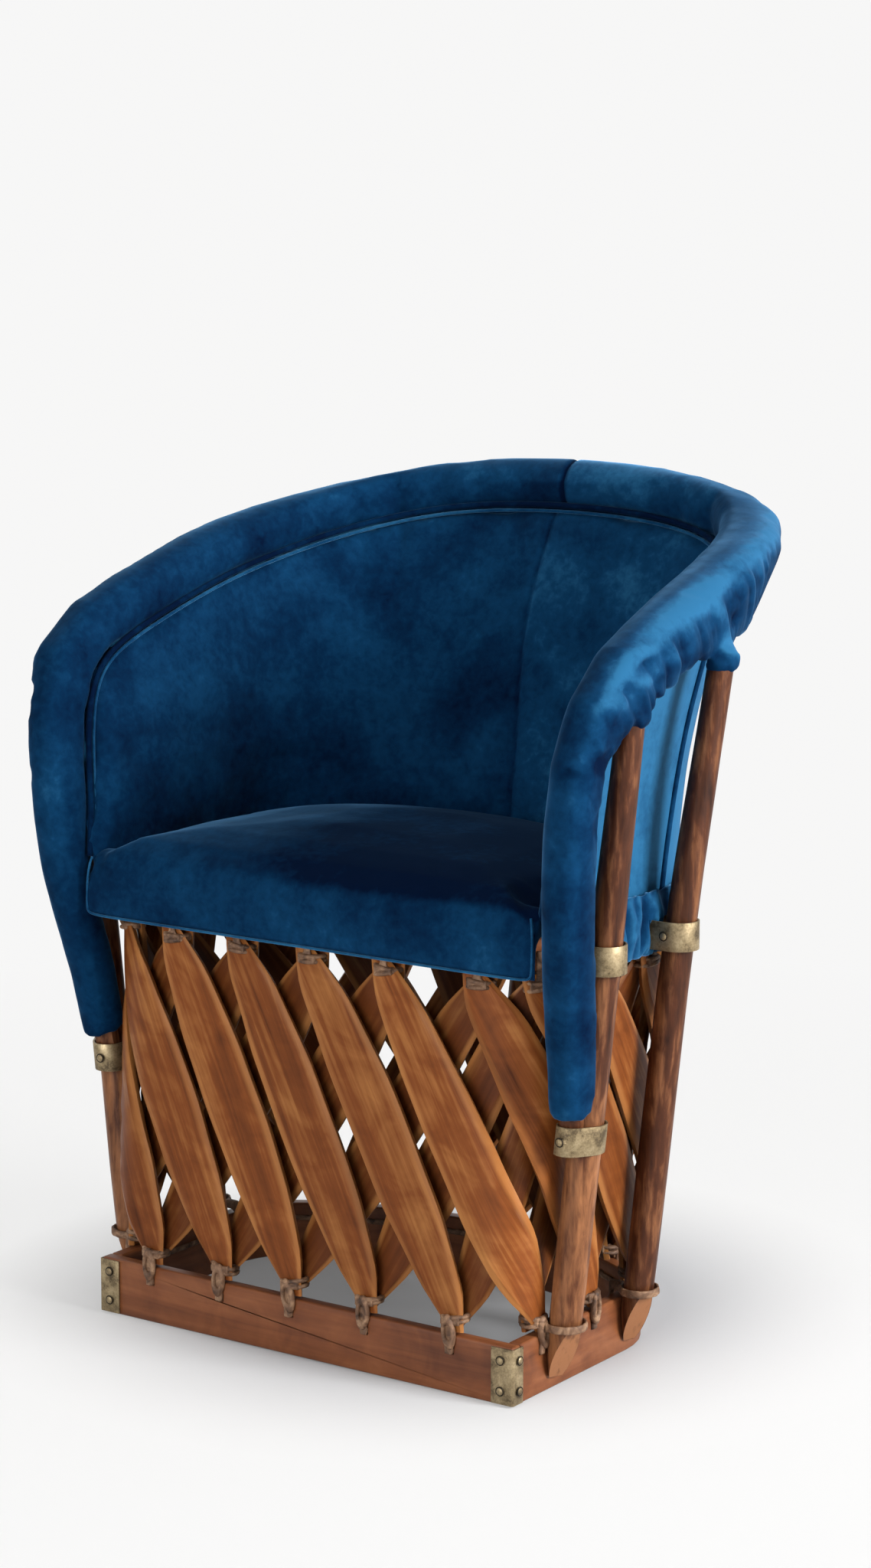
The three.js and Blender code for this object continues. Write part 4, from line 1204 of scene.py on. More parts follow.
    def _slat(self, number: int, layer: Layer) -> Piece:
        """One slat: a grid laid on the barrel, shaved along its edges and given its thickness.

        Args:
            number: The slat's place round the seat, from 0.
            layer: The layer that it lies in.

        Returns:
            The finished slat.
        """
        name = f"{layer.name.lower()}_slat_{number + 1:02d}"
        chance = random.Random(name)
        deselect_all()
        bpy.ops.mesh.primitive_grid_add(x_subdivisions=len(self.columns) - 1, y_subdivisions=self.rows,
                                        size=2)
        piece = bpy.context.object
        piece.name = piece.data.name = f"cedar_{name}"
        tip = self.tip / (self.seat_height - self.base_height)
        line = self.profile(number, layer)
        fine = np.linspace(0, 1, self.fine)
        low, high = self.ends(number, layer)
        wobble = chance.uniform(0, 9)
        depths = {edge: self.shaved_depth * chance.uniform(0.6, 1.1) for edge in (-1, 1)}
        # How far each shaved edge is lightened, partly paler wood and partly a painted highlight, one edge
        # more than the other.
        lights = {-1: chance.uniform(0.35, 0.9), 1: chance.uniform(0.5, 1.0)}
        rows, grain, shaved = [], [], []
        for x, y, _ in coordinates(piece):
            column = self.columns[round((x + 1) / 2 * (len(self.columns) - 1))]
            edge = 1 if column > 0 else -1
            part = (y + 1) / 2
            rise = -tip + (1 + 2 * tip) * part
            bow = self.inner_bow * (1 - (2 * part - 1) ** 4) if layer is Layer.INNER else 0.0
            middle = layer.value * (self.thickness + self.layer_space) / 2 - bow
            around = self.base.length + (self.seat.length - self.base.length) * rise
            half = float(np.interp(part, fine, line)) / 2
            waver = self.sway * math.sin(part * 9 + wobble + column)
            waver += self.ripple * math.sin(part * 23 + wobble)
            share = low + (high - low) * rise + column * half * (1 + waver) / around
            slope = min(max((abs(column) - self.shaved_share) / (1 - self.shaved_share), 0.0), 1.0)
            offset = middle + self.thickness / 2 - slope * depths[edge]
            rows.append(self.surface(share, rise, offset))
            grain.append((column * half + number, 0.1 * layer.value, part * 0.36 + number * 0.7))
            shaved.append(lights[edge] if slope > 0.3 else 0.0)
        place(piece, np.array(rows))
        store(piece, "grain", np.array(grain))
        store(piece, "shaved", np.array(shaved))
        # Outer slats get a random tone; inner slats are darker, painted shade behind the outer layer.
        shade = chance.uniform(0.0, 0.5) if layer is Layer.OUTER else chance.uniform(0.75, 1.0)
        store(piece, "tone", np.full(len(rows), shade))
        self._face_out(piece)
        modify(piece, "SOLIDIFY", thickness=self.thickness - self.face_loss, offset=-1.0,
               use_even_offset=False)
        soften(piece, self.edge, 2, 50)
        smooth_by_angle(piece, 24)
        dress(piece, self.finish, "cedar_slat", name)
        return piece

    def _face_out(self, piece: Piece) -> None:
        """Turn a slat's faces away from the barrel's middle.

        Args:
            piece: The slat.
        """
        total = 0.0
        for face in piece.data.polygons:
            away = face.center - Vector(self.core)
            away.z = 0
            total += face.normal.dot(away) * face.area
        if total < 0:
            piece.data.flip_normals()


@dataclass
class WoodFrame:
    """The boards, hoops, posts and rail, with softened edges and their own grain."""

    finishes: Finishes
    barrel: SlatBarrel
    bevel: float = 0.0012
    hoop_bevel_share: float = 0.7
    hoop_inset: float = 0.007
    wear: float = 0.0005
    wear_waves: Spot = (30, 30, 9)
    pale_heights: Span = (0.22, 0.3)
    foot_cut: float = 0.062
    foot_depth: float = 0.017
    foot_reach: float = 0.006
    head_reach: float = 0.02
    lean_share: float = 0.35
    rim: float = 0.0007
    rods: tuple[str, ...] = (
        "front_post_left", "front_post_right", "rear_post_left", "rear_post_right", "back_post", "arm_rail",
    )

    def build(self) -> list[Piece]:
        """Make every piece of the frame.

        Returns:
            The pieces, the board first.
        """
        hoops = (("base_rear_hoop", self.barrel.base_plan), ("seat_hoop", self.barrel.seat_plan))
        made = [self._board()]
        made += [self._hoop(node, HoopPath(plan, self.hoop_inset)) for node, plan in hoops]
        return made + [self._rod(name) for name in self.rods]

    def _board(self) -> Piece:
        """The straight front board.

        Returns:
            The finished piece.
        """
        piece = cad_copy("base_front_board", "cedar_front_board")
        soften(piece, self.bevel, 3, 30)
        smooth_by_angle(piece, 35)
        dress(piece, self.finishes.board, "cedar_board", "base_front_board")
        return piece

    def _hoop(self, node: str, path: HoopPath) -> Piece:
        """A bent hoop, with its grain led round it.

        Args:
            node: The CAD node.
            path: The hoop's middle line.

        Returns:
            The finished hoop.
        """
        piece = cad_copy(node, f"cedar_{node}")
        soften(piece, self.bevel * self.hoop_bevel_share, 2, 38)
        rows = coordinates(piece)
        shares = np.array([path.share_near(x, y - self.barrel.shift) for x, y, _ in rows])
        across = np.hypot(rows[:, 0], rows[:, 1]) * 0.3
        store(piece, "grain", np.stack([rows[:, 2], across, shares * path.length], axis=1))
        store(piece, "shaved", np.zeros(len(rows)))
        store(piece, "tone", np.zeros(len(rows)))
        smooth_by_angle(piece, 35)
        dress(piece, self.finishes.hoop, "cedar_board", node)
        return piece

    def _rod(self, node: str) -> Piece:
        """A hand-worn round rod, with its foot cut slanting where it stands outside the board.

        Args:
            node: The CAD node.

        Returns:
            The finished piece.
        """
        piece = cad_copy(node, f"cedar_{node}")
        crease_sharp(piece, 38)
        divide(piece, 2)
        push(piece, self.wear * cloud(coordinates(piece), self.wear_waves, 4.0))
        if "post_" in node:
            face = self._cut_foot(piece, Side.LEFT if node.endswith("left") else Side.RIGHT)
            pale = 1 - ramp(coordinates(piece)[:, 2], *self.pale_heights)
            store(piece, "pale", np.where(face, 2.0, pale * node.startswith("front_post")))
        smooth_by_angle(piece, 35)
        dress(piece, self.finishes.rod, "cedar_rod", node)
        return piece

    def _cut_foot(self, piece: Piece, side: Side) -> np.ndarray:
        """Cut a post's foot to a slanting face on its outer side.

        Args:
            piece: The post.
            side: The side of the chair that it stands on.

        Returns:
            For each vertex, whether it bounds the middle of the new face.
        """
        rows = coordinates(piece)
        foot = rows[:, 2].min()
        head = foot + self.foot_cut
        lowest = rows[rows[:, 2] < foot + self.foot_reach]
        outer = max(side.value * rows[np.abs(rows[:, 2] - head) < self.head_reach][:, 0])
        low = max(side.value * lowest[:, 0]) - self.foot_depth
        slope = Vector((side.value * self.foot_cut, -self.lean_share * self.foot_cut, low - outer))
        edit_all(piece)
        bpy.ops.mesh.bisect(plane_co=(side.value * low, lowest[:, 1].mean(), foot),
                            plane_no=slope.normalized(), clear_outer=True, use_fill=True)
        bpy.ops.mesh.select_mode(type="FACE")
        bpy.ops.mesh.inset(thickness=self.rim)
        bpy.ops.mesh.select_mode(type="VERT")
        bpy.ops.object.mode_set(mode="OBJECT")
        picked = np.empty(len(piece.data.vertices), bool)
        piece.data.vertices.foreach_get("select", picked)
        return picked


@dataclass
class Lacing:
    """The rawhide thongs round both hoops, wrapped and knotted round the slat tips."""

    finish: Material
    barrel: SlatBarrel
    voxel: float = 0.0018
    unevenness: float = 0.0004
    uneven_waves: float = 160.0
    collar_room: float = 0.0085
    collar_reach: float = 0.024
    collar_height: float = 0.0075
    collar_pull_share: float = 0.75
    wrap_size: Spot = (0.0125, 0.0108, 0.01)
    wrap_cord_share: float = 0.24
    wrap_lifts: Span = (-0.0028, 0.0026)
    wrap_tilts: Span = (-13, 13)
    tail_size: Spot = (0.0052, 0.0125, 0.0085)
    tail_cord_share: float = 0.42
    tail_leans: Span = (-16, 4)
    tail_out: float = 0.0118
    tail_drop: float = 0.011

    def build(self) -> list[Piece]:
        """Make both thongs."""
        barrel = self.barrel
        return [self._thong("bottom_lacing", barrel.base_knots, 0.0, barrel.base_height),
                self._thong("top_lacing", barrel.seat_knots, 1.0, barrel.seat_height)]

    def _thong(self, node: str, knots: Sequence[float], rise: float, height: float) -> Piece:
        """One thong with soft edges, and a knot round each pair of slat tips.

        Args:
            node: The CAD node.
            knots: Where the slat tips meet, as shares of the way round.
            rise: 0 on the base and 1 on the seat hoop.
            height: The knots' height.

        Returns:
            The finished thong.
        """
        piece = skin(cad_copy(node, f"rawhide_{node}"), self.voxel, 0.0, 5)
        path = self.barrel.base if rise == 0.0 else self.barrel.seat
        rows = coordinates(piece)
        parts = []
        for number, share in enumerate(knots):
            middle = self.barrel.surface(share, rise, 0.0)
            out = path.out(share).to_3d()
            along = Vector((-out.y, out.x, 0))
            rows = self._draw_in(rows, middle, along, height)
            parts += self._knot(f"{node}_{number}", middle, along, out, rise)
        uneven = self.unevenness * cloud(rows, self.uneven_waves, 7.0)
        place(piece, rows + normals(piece) * uneven[:, None])
        piece = join([piece, *parts])
        smooth_all(piece)
        dress(piece, self.finish, "leather", node)
        return piece

    def _draw_in(self, rows: np.ndarray, middle: Vector, along: Vector, height: float) -> np.ndarray:
        """Draw a collar's two ends in towards the slat tips.

        Args:
            rows: The thong's points.
            middle: The middle of the collar.
            along: The way round the hoop.
            height: The collar's height.

        Returns:
            The moved points.
        """
        level = rows[:, :2] - np.array(middle[:2])
        side = level @ np.array(along[:2])
        near = np.linalg.norm(level, axis=1) < self.collar_reach
        near &= np.abs(rows[:, 2] - height) < self.collar_height
        over = np.maximum(np.abs(side) - self.collar_room, 0) * near
        rows[:, :2] -= (np.sign(side) * over * self.collar_pull_share)[:, None] * np.array(along[:2])
        return rows

    def _knot(self, name: str, middle: Vector, along: Vector, out: Vector, rise: float) -> list[Piece]:
        """The turns of thong round two slat tips, and at the base the loop that hangs from them.

        Args:
            name: What the knot belongs to.
            middle: The point where the tips cross.
            along: The way round the hoop.
            out: The way out of the hoop.
            rise: 0 on the base and 1 on the seat hoop.

        Returns:
            The turns and the loop.
        """
        chance = random.Random(name)
        turn = Matrix((along, out, Vector((0, 0, 1)))).transposed().to_4x4()
        made = []
        for lift in self.wrap_lifts:
            tilt = Matrix.Rotation(math.radians(chance.uniform(*self.wrap_tilts)), 4, "Y")
            size = Matrix.Diagonal((*self.wrap_size, 1))
            spot = Matrix.Translation(middle + Vector((0, 0, lift)))
            made.append(self._ring(spot @ turn @ tilt @ size, self.wrap_cord_share))
        if rise == 0.0:
            lean = Matrix.Rotation(math.radians(chance.uniform(*self.tail_leans)), 4, "Y")
            stand = Matrix.Rotation(math.radians(90), 4, "X")
            size = Matrix.Diagonal((*self.tail_size, 1))
            spot = Matrix.Translation(middle + out * self.tail_out - Vector((0, 0, self.tail_drop)))
            made.append(self._ring(spot @ turn @ lean @ stand @ size, self.tail_cord_share))
        return made

    @staticmethod
    def _ring(place_of: Matrix, thickness: float) -> Piece:
        """A ring of thong, put in its place.

        Args:
            place_of: Its place, turn and size.
            thickness: The thong's radius as a share of the ring's.

        Returns:
            The ring.
        """
        deselect_all()
        bpy.ops.mesh.primitive_torus_add(major_segments=18, minor_segments=8, major_radius=1.0,
                                         minor_radius=thickness)
        ring = bpy.context.object
        ring.data.transform(place_of)
        return ring


@dataclass
class Metalwork:
    """The brackets, bands and straps with their nails."""

    finish: Material
    edge: float = 0.0005
    nodes: tuple[str, ...] = (
        "corner_bracket_left", "corner_bracket_right", "arm_band_left", "arm_band_right",
        "front_seat_strap_left", "front_seat_strap_right", "rear_seat_strap_left",
        "rear_seat_strap_right", "back_seat_strap",
    )
    nail_radius: float = 0.0038
    nail_flatness: float = 0.4
    nail_line: float = 0.0006
    nail_places: tuple[tuple[Spot, Spot], ...] = (
        ((0.2385, -0.2494, 0.0448), (0, -1, 0)),
        ((0.2385, -0.2494, 0.0148), (0, -1, 0)),
        ((0.2539, -0.2379, 0.0448), (1, 0, 0)),
        ((0.2539, -0.2379, 0.0148), (1, 0, 0)),
        ((0.2785, -0.2127, 0.254), (0, -1, 0)),
        ((0.3005, -0.0673, 0.4275), (0, -1, 0)),
        ((0.3005, -0.2023, 0.4275), (0, -1, 0)),
    )

    def build(self) -> list[Piece]:
        """Make every metal piece."""
        return [*[self._sheet_piece(node) for node in self.nodes], self._nails()]

    def _nails(self) -> Piece:
        """The round nail heads on the brackets, bands and straps.

        Returns:
            All the heads as one piece.
        """
        heads = []
        for side in Side:
            for (x, y, z), (way_x, way_y, way_z) in self.nail_places:
                spot = Vector((side.value * x, y, z))
                way = Vector((side.value * way_x, way_y, way_z)).normalized()
                heads.append(self._nail(spot, way))
        piece = join(heads)
        piece.name = "brass_nails"
        smooth_all(piece)
        dress(piece, self.finish, "antique_brass")
        return piece

    def _nail(self, spot: Vector, way: Vector) -> Piece:
        """A low dome with a dark line round it.

        Args:
            spot: The middle of the head, on the face.
            way: The way out of the face.

        Returns:
            The head.
        """
        turn = Matrix.Translation(spot) @ way.to_track_quat("Z", "Y").to_matrix().to_4x4()
        deselect_all()
        bpy.ops.mesh.primitive_uv_sphere_add(segments=18, ring_count=8, radius=self.nail_radius)
        dome = bpy.context.object
        store(dome, "rim", np.zeros(len(dome.data.vertices)))
        dome.data.transform(turn @ Matrix.Diagonal((1, 1, self.nail_flatness, 1)))
        deselect_all()
        bpy.ops.mesh.primitive_torus_add(major_segments=24, minor_segments=6, minor_radius=self.nail_line,
                                         major_radius=self.nail_radius + self.nail_line * 0.6)
        line = bpy.context.object
        store(line, "rim", np.ones(len(line.data.vertices)))
        line.data.transform(turn)
        return join([dome, line])

    def _sheet_piece(self, node: str) -> Piece:
        """One bent piece with rounded edges and a slightly hammered face.

        Args:
            node: The CAD node.

        Returns:
            The finished piece.
        """
        piece = cad_copy(node, f"brass_{node}")
        soften(piece, self.edge, 2, 35)
        smooth_by_angle(piece, 40)
        dress(piece, self.finish, "antique_brass", node)
        return piece


# Upholstery


@dataclass(frozen=True)
class Puff:
    """A cloth simulation that swells a closed velvet skin."""

    pressure: float = 4.0
    frames: int = 20
    cap: float = 0.005
    tension: float = 15.0
    quality: int = 5

    def run(self, piece: Piece, free: np.ndarray | None = None) -> None:
        """Swell a piece and keep the result in its mesh.

        Args:
            piece: The remeshed skin.
            free: How far each vertex may follow, from 0 to 1.
        """
        start = coordinates(piece)
        cloth = piece.modifiers.new("Cloth", "CLOTH")
        settings = cloth.settings
        settings.quality = self.quality
        settings.tension_stiffness = self.tension
        settings.compression_stiffness = self.tension
        settings.use_pressure = True
        settings.uniform_pressure_force = self.pressure
        settings.effector_weights.gravity = 0.0
        cloth.point_cache.frame_start = 1
        cloth.point_cache.frame_end = self.frames
        scene = bpy.context.scene
        for frame in range(1, self.frames + 1):
            scene.frame_set(frame)
        graph = bpy.context.evaluated_depsgraph_get()
        swollen = piece.evaluated_get(graph).to_mesh()
        ended = np.empty(len(swollen.vertices) * 3)
        swollen.vertices.foreach_get("co", ended)
        piece.evaluated_get(graph).to_mesh_clear()
        piece.modifiers.remove(cloth)
        scene.frame_set(1)
        move = ended.reshape(-1, 3) - start
        length = np.linalg.norm(move, axis=1, keepdims=True)
        move *= np.minimum(1.0, self.cap / np.maximum(length, 1e-9))
        if free is not None:
            move *= free[:, None]
        place(piece, start + move)


def skin(piece: Piece, voxel: float, shrink: float, rounds: int) -> Piece:
    """Remesh a soft solid's copy into an even skin, a little smaller than it.

    Args:
        piece: The copy of the solid.
        voxel: The remesh size.
        shrink: How far the skin is drawn in.
        rounds: How many rounds of smoothing it gets.

    Returns:
        The even skin.
    """
    modify(piece, "REMESH", mode="VOXEL", voxel_size=voxel, adaptivity=0.0)
    push(piece, -shrink)
    modify(piece, "SMOOTH", factor=0.5, iterations=rounds)
    return piece


def rings_along(node: str) -> list[Vector]:
    """The middles of the rings of a lofted tube, from one end to the other.

    Args:
        node: The tube's CAD node.

    Returns:
        The middles in order.
    """
    piece = cad_copy(node, "tube_guide")
    mesh = bmesh.new()
    mesh.from_mesh(piece.data)
    first = min(mesh.verts, key=lambda v: (round(v.co.z, 3), v.co.x))
    ring = [v for v in mesh.verts if (v.co - first.co).length < END_REACH]
    seen = set(ring)
    middles = []
    while ring:
        middles.append(sum((v.co for v in ring), Vector()) / len(ring))
        following = {e.other_vert(v) for v in ring for e in v.link_edges} - seen
        seen |= following
        ring = list(following)
    mesh.free()
    bpy.data.objects.remove(piece)
    return middles


@dataclass
class ArmRoll:
    """The padded roll that runs over the back and down both front posts as sleeves."""

    finish: Material
    voxel: float = 0.0054
    shrink: float = 0.0008
    swelling: Puff = Puff(pressure=3.0, cap=0.0035)
    free_reach: Span = (0.025, 0.055)
    unevenness: float = 0.0009
    uneven_waves: float = 14.0
    behind: float = 0.1
    seam_depth: float = 0.0026
    seam_width: float = 0.003
    fold_depth: float = 0.0048
    fold_shade: float = 1.1
    fold_waves: Spot = (4, 40, 7)
    dent_waves: Spot = (8, 26, 34)
    stroke_waves: Spot = (12, 9, 26)
    flank_sides: Span = (0.275, 0.315)
    flank_depths: Span = (-0.13, -0.03)
    flank_heights: Span = (0.56, 0.66)
    sleeve_sides: Span = (0.29, 0.32)
    sleeve_heights: Span = (0.5, 0.6)
    wrap: float = 0.0048
    sleeve_drop: float = 0.021
    sleeve_foot: float = 0.28
    sleeve_blend: float = 0.06
    post_tops: tuple[tuple[str, float], ...] = (("front_post", 0.646), ("rear_post", 0.682))
    piping_foot: tuple[Spot, ...] = ((0.274, -0.229, 0.488), (0.271, -0.233, 0.468))
    piping_radius: float = 0.0031
    inner_piping_radius: float = 0.0017
    piping_space: float = 0.0064

    def build(self) -> list[Piece]:
        """Make the roll and the double piping along it."""
        return [self._cover(), *self._piping()]

    def _cover(self) -> Piece:
        """The roll's velvet: wrapped over the post tops, swollen, then seamed and creased.

        Returns:
            The finished piece.
        """
        base = cad_copy("roll_cover", "velvet_roll_cover")
        tops = [self._post_top(f"{post}_{side.name.lower()}", height)
                for post, height in self.post_tops for side in Side]
        middles = [coordinates(top).mean(axis=0) for top in tops]
        piece = join([base, *tops])
        rows = coordinates(piece)
        low = 1 - ramp(rows[:, 2], self.sleeve_foot, self.sleeve_foot + self.sleeve_blend)
        rows[:, 2] -= self.sleeve_drop * low
        place(piece, rows)
        skin(piece, self.voxel, self.shrink, 5)
        rows = coordinates(piece)
        away = np.min([np.linalg.norm(rows - middle, axis=1) for middle in middles], axis=0)
        self.swelling.run(piece, ramp(away, *self.free_reach))
        divide(piece, 1)
        rows, ways = coordinates(piece), normals(piece)
        soft = self.unevenness * cloud(rows, self.uneven_waves, 1.0)
        seam = -self.seam_depth * groove(rows[:, 0], self.seam_width) * (rows[:, 1] > self.behind)
        folds = self._folds(rows) * ramp(-ways[:, 2], -0.45, -0.05)
        push(piece, soft + folds + seam)
        # Painted light on the fold ridges and painted shade in their dents, over the roll's nap and painted
        # light.
        nap = self._nap(rows, ways) + self.fold_shade * folds / self.fold_depth
        clothe(piece, self.finish, nap, "roll_cover")
        return piece

    def _post_top(self, node: str, height: float) -> Piece:
        """The part of a post under the velvet, grown so that the velvet wraps over it.

        Args:
            node: The post's CAD node.
            height: Where the velvet starts.

        Returns:
            The grown top.
        """
        piece = cad_copy(node, f"{node}_under_velvet")
        edit_all(piece)
        bpy.ops.mesh.bisect(plane_co=(0, 0, height), plane_no=(0, 0, 1), clear_inner=True, use_fill=True)
        bpy.ops.object.mode_set(mode="OBJECT")
        push(piece, self.wrap)
        return piece

    def _folds(self, rows: np.ndarray) -> np.ndarray:
        """Short folds where the velvet is drawn over the post tops and down to the hem.

        Args:
            rows: The roll's points.

        Returns:
            How far each point stands out.
        """
        side, height = np.abs(rows[:, 0]), rows[:, 2]
        flank = ramp(side, *self.flank_sides) * ramp(-rows[:, 1], *self.flank_depths)
        flank = flank * ramp(height, *self.flank_heights)
        drawn = np.stack([rows[:, 0], rows[:, 1] + 0.5 * height, height], axis=1)
        ripple = cloud(drawn, self.fold_waves, 3.0, 3)
        dents = np.minimum(cloud(rows, self.dent_waves, 11.0) + 0.12, 0.0)
        sleeve = ramp(side, *self.sleeve_sides) * ramp(height, *self.sleeve_heights)
        return self.fold_depth * (flank * ripple + 1.2 * sleeve * dents)

    def _nap(self, rows: np.ndarray, ways: np.ndarray) -> np.ndarray:
        """Random nap strokes, a lighter band right of the middle seam, and painted light and shade.

        Args:
            rows: The roll's points.
            ways: The way out at each point.

        Returns:
            A value for each point.
        """
        x, height = rows[:, 0], rows[:, 2]
        behind = rows[:, 1] > self.behind
        # A lighter band right of the middle seam at the back, and painted shade along the seam line.
        brushed = 1.1 * ramp(x, 0.0, 0.004) * (1 - ramp(x, 0.08, 0.24)) * behind
        brushed -= 1.6 * groove(x, 0.0028) * behind
        strokes = cloud(rows, self.stroke_waves, 21.0, 3)
        arm = ramp(x, 0.12, 0.25)
        # Painted shade on faces that turn away from the top, except on the right arm.
        hollow_shade = -0.5 * ramp(-ways[:, 2], -0.55, 0.1)
        # Painted light on the right arm's upper outside, which faces the lamp, and painted shade on its
        # down-turned faces.
        upper = ramp(ways[:, 0], 0.05, 0.6) * ramp(ways[:, 2], -0.1, 0.6) * ramp(height, 0.45, 0.7)
        outside = arm * ((1.9 + 0.9 * strokes) * upper - 0.6 * (1 - ramp(ways[:, 2], -0.35, 0.25)))
        # Painted light on faces turned to the front, low on both sleeves.
        outside += 0.55 * (1 - ramp(height, 0.52, 0.64)) * ramp(-ways[:, 1], 0.3, 0.7)
        return brushed + 0.6 * strokes * (0.4 + 0.6 * arm) + hollow_shade * (1 - arm) + outside

    def _piping(self) -> list[Piece]:
        """The covered cord in the seam, and the thinner one below it.

        Returns:
            The outer and the inner cord.
        """
        right = [Vector(p) for p in self.piping_foot]
        left = [Vector((-x, y, z)) for x, y, z in reversed(self.piping_foot)]
        middles = [*left, *rings_along("roll_piping"), *right]
        inner = []
        for i, p in enumerate(middles):
            along = (middles[min(i + 1, len(middles) - 1)] - middles[max(i - 1, 0)]).normalized()
            toward = Vector((p.x * 0.95, max(p.y, -0.03), 0.6)) - p
            toward = (toward - along * toward.dot(along)).normalized()
            inner.append(p + toward * self.piping_space)
        first = tube("velvet_piping", middles, self.piping_radius)
        second = tube("velvet_piping_inner", inner, self.inner_piping_radius)
        # The outer cord is painted darker, painted shade under the roll; the inner cord is painted lighter,
        # a painted highlight.
        clothe(first, self.finish, -1.1, "roll_piping")
        clothe(second, self.finish, 0.9)
        return [first, second]


@dataclass
class BackPanels:
    """The padded inner panel with its seam, and the plain outer panel with its welts."""

    finish: Material
    voxel: float = 0.0058
    shrink: float = 0.0008
    swelling: Puff = Puff(pressure=3.0, cap=0.004)
    corner_reach: Spot = (0.01, -0.032, -0.01)
    corner_heights: Span = (0.475, 0.535)
    corner_depths: Span = (0.172, 0.2)
    seam_line: Table = ((0.45, 0.0), (0.566, -0.007), (0.66, -0.018), (0.72, -0.02), (0.8, -0.012))
    seam_depth: float = 0.0022
    seam_width: float = 0.0028
    seam_shade_width: float = 0.0024
    seam_from: float = 0.05
    low_heights: Span = (0.52, 0.66)
    crease_depth: float = 0.003
    crease_waves: Spot = (14, 14, 30)
    unevenness: float = 0.0012
    uneven_waves: float = 9.0
    stroke_waves: Spot = (13, 13, 17)
    outer_unevenness: float = 0.0008
    outer_uneven_waves: float = 12.0
    outer_stroke_waves: Spot = (9, 9, 12)
    flank_sides: Span = (0.14, 0.27)
    welt_ends: Table = ((-0.0225, 0.462), (0.0338, 0.69))
    welt_radius: float = 0.003
    welt_points: int = 9

    def build(self) -> list[Piece]:
        """Make both panels and the welts."""
        outer = self._outer()
        return [self._inner(), outer, *[self._welt(outer, side) for side in Side]]

    def _inner(self) -> Piece:
        """The inner panel: carried to the sleeves, swollen, with a middle seam and low creases.

        Returns:
            The finished piece.
        """
        piece = cad_copy("inner_back_panel", "velvet_inner_back")
        rows = coordinates(piece)
        corner = (1 - ramp(rows[:, 2], *self.corner_heights)) * ramp(-rows[:, 1], *self.corner_depths)
        reach = np.stack([np.sign(rows[:, 0]), np.ones(len(rows)), np.ones(len(rows))], axis=1)
        place(piece, rows + corner[:, None] * reach * np.array(self.corner_reach))
        skin(piece, self.voxel, self.shrink, 4)
        self.swelling.run(piece)
        divide(piece, 1)
        rows = coordinates(piece)
        heights, places = zip(*self.seam_line)
        beside = rows[:, 0] - np.interp(rows[:, 2], heights, places)
        seam = -self.seam_depth * groove(beside, self.seam_width) * (rows[:, 1] > self.seam_from)
        low = 1 - ramp(rows[:, 2], *self.low_heights)
        crease = self.crease_depth * low * cloud(rows, self.crease_waves, 5.0, 3)
        soft = self.unevenness * cloud(rows, self.uneven_waves, 6.0)
        push(piece, seam + crease + soft)
        # A lighter band right of the seam, and painted shade along the seam line.
        right = 0.6 * ramp(beside, 0.0, 0.004) - 0.5 * groove(beside, self.seam_shade_width)
        strokes = cloud(rows, self.stroke_waves, 31.0, 3)
        # Painted shade: darker towards the bottom of the panel, down by the seat.
        nap = right * (rows[:, 1] > 0.0) + 0.28 * strokes - 0.35 * low
        clothe(piece, self.finish, nap, "inner_back_panel")
        return piece

    def _outer(self) -> Piece:
        """The outer panel: velvet drawn flat over its board, with painted light on its flanks.

        Returns:
            The finished piece.
        """
        piece = cad_copy("outer_back_panel", "velvet_outer_back")
        crease_sharp(piece, 50)
        divide(piece, 3)
        rows = coordinates(piece)
        push(piece, self.outer_unevenness * cloud(rows, self.outer_uneven_waves, 2.0))
        # Painted light on both flanks, with random nap strokes.
        flank = ramp(np.abs(rows[:, 0]), *self.flank_sides)
        store(piece, "nap", 0.3 + 1.7 * flank + 0.3 * cloud(rows, self.outer_stroke_waves, 51.0, 3))
        smooth_by_angle(piece, 50)
        dress(piece, self.finish, "velvet", "outer_back_panel")
        return piece

    def _welt(self, outer: Piece, side: Side) -> Piece:
        """A covered cord down the outer panel, just before a rear post.

        Args:
            outer: The outer panel, on which the cord lies.
            side: The side of the chair.

        Returns:
            The finished cord.
        """
        mesh = bmesh.new()
        mesh.from_mesh(outer.data)
        tree = BVHTree.FromBMesh(mesh)
        mesh.free()
        (low_y, low_z), (high_y, high_z) = self.welt_ends
        middles = []
        for i in range(self.welt_points):
            part = i / (self.welt_points - 1)
            start = Vector((side.value, low_y + (high_y - low_y) * part, low_z + (high_z - low_z) * part))
            spot = tree.ray_cast(start, Vector((-side.value, 0, 0)))[0]
            if spot is not None:
                middles.append(spot + Vector((side.value * self.welt_radius * 0.3, 0, 0)))
        piece = tube(f"velvet_outer_welt_{side.name.lower()}", middles, self.welt_radius)
        dress(piece, self.finish, "velvet")
        return piece


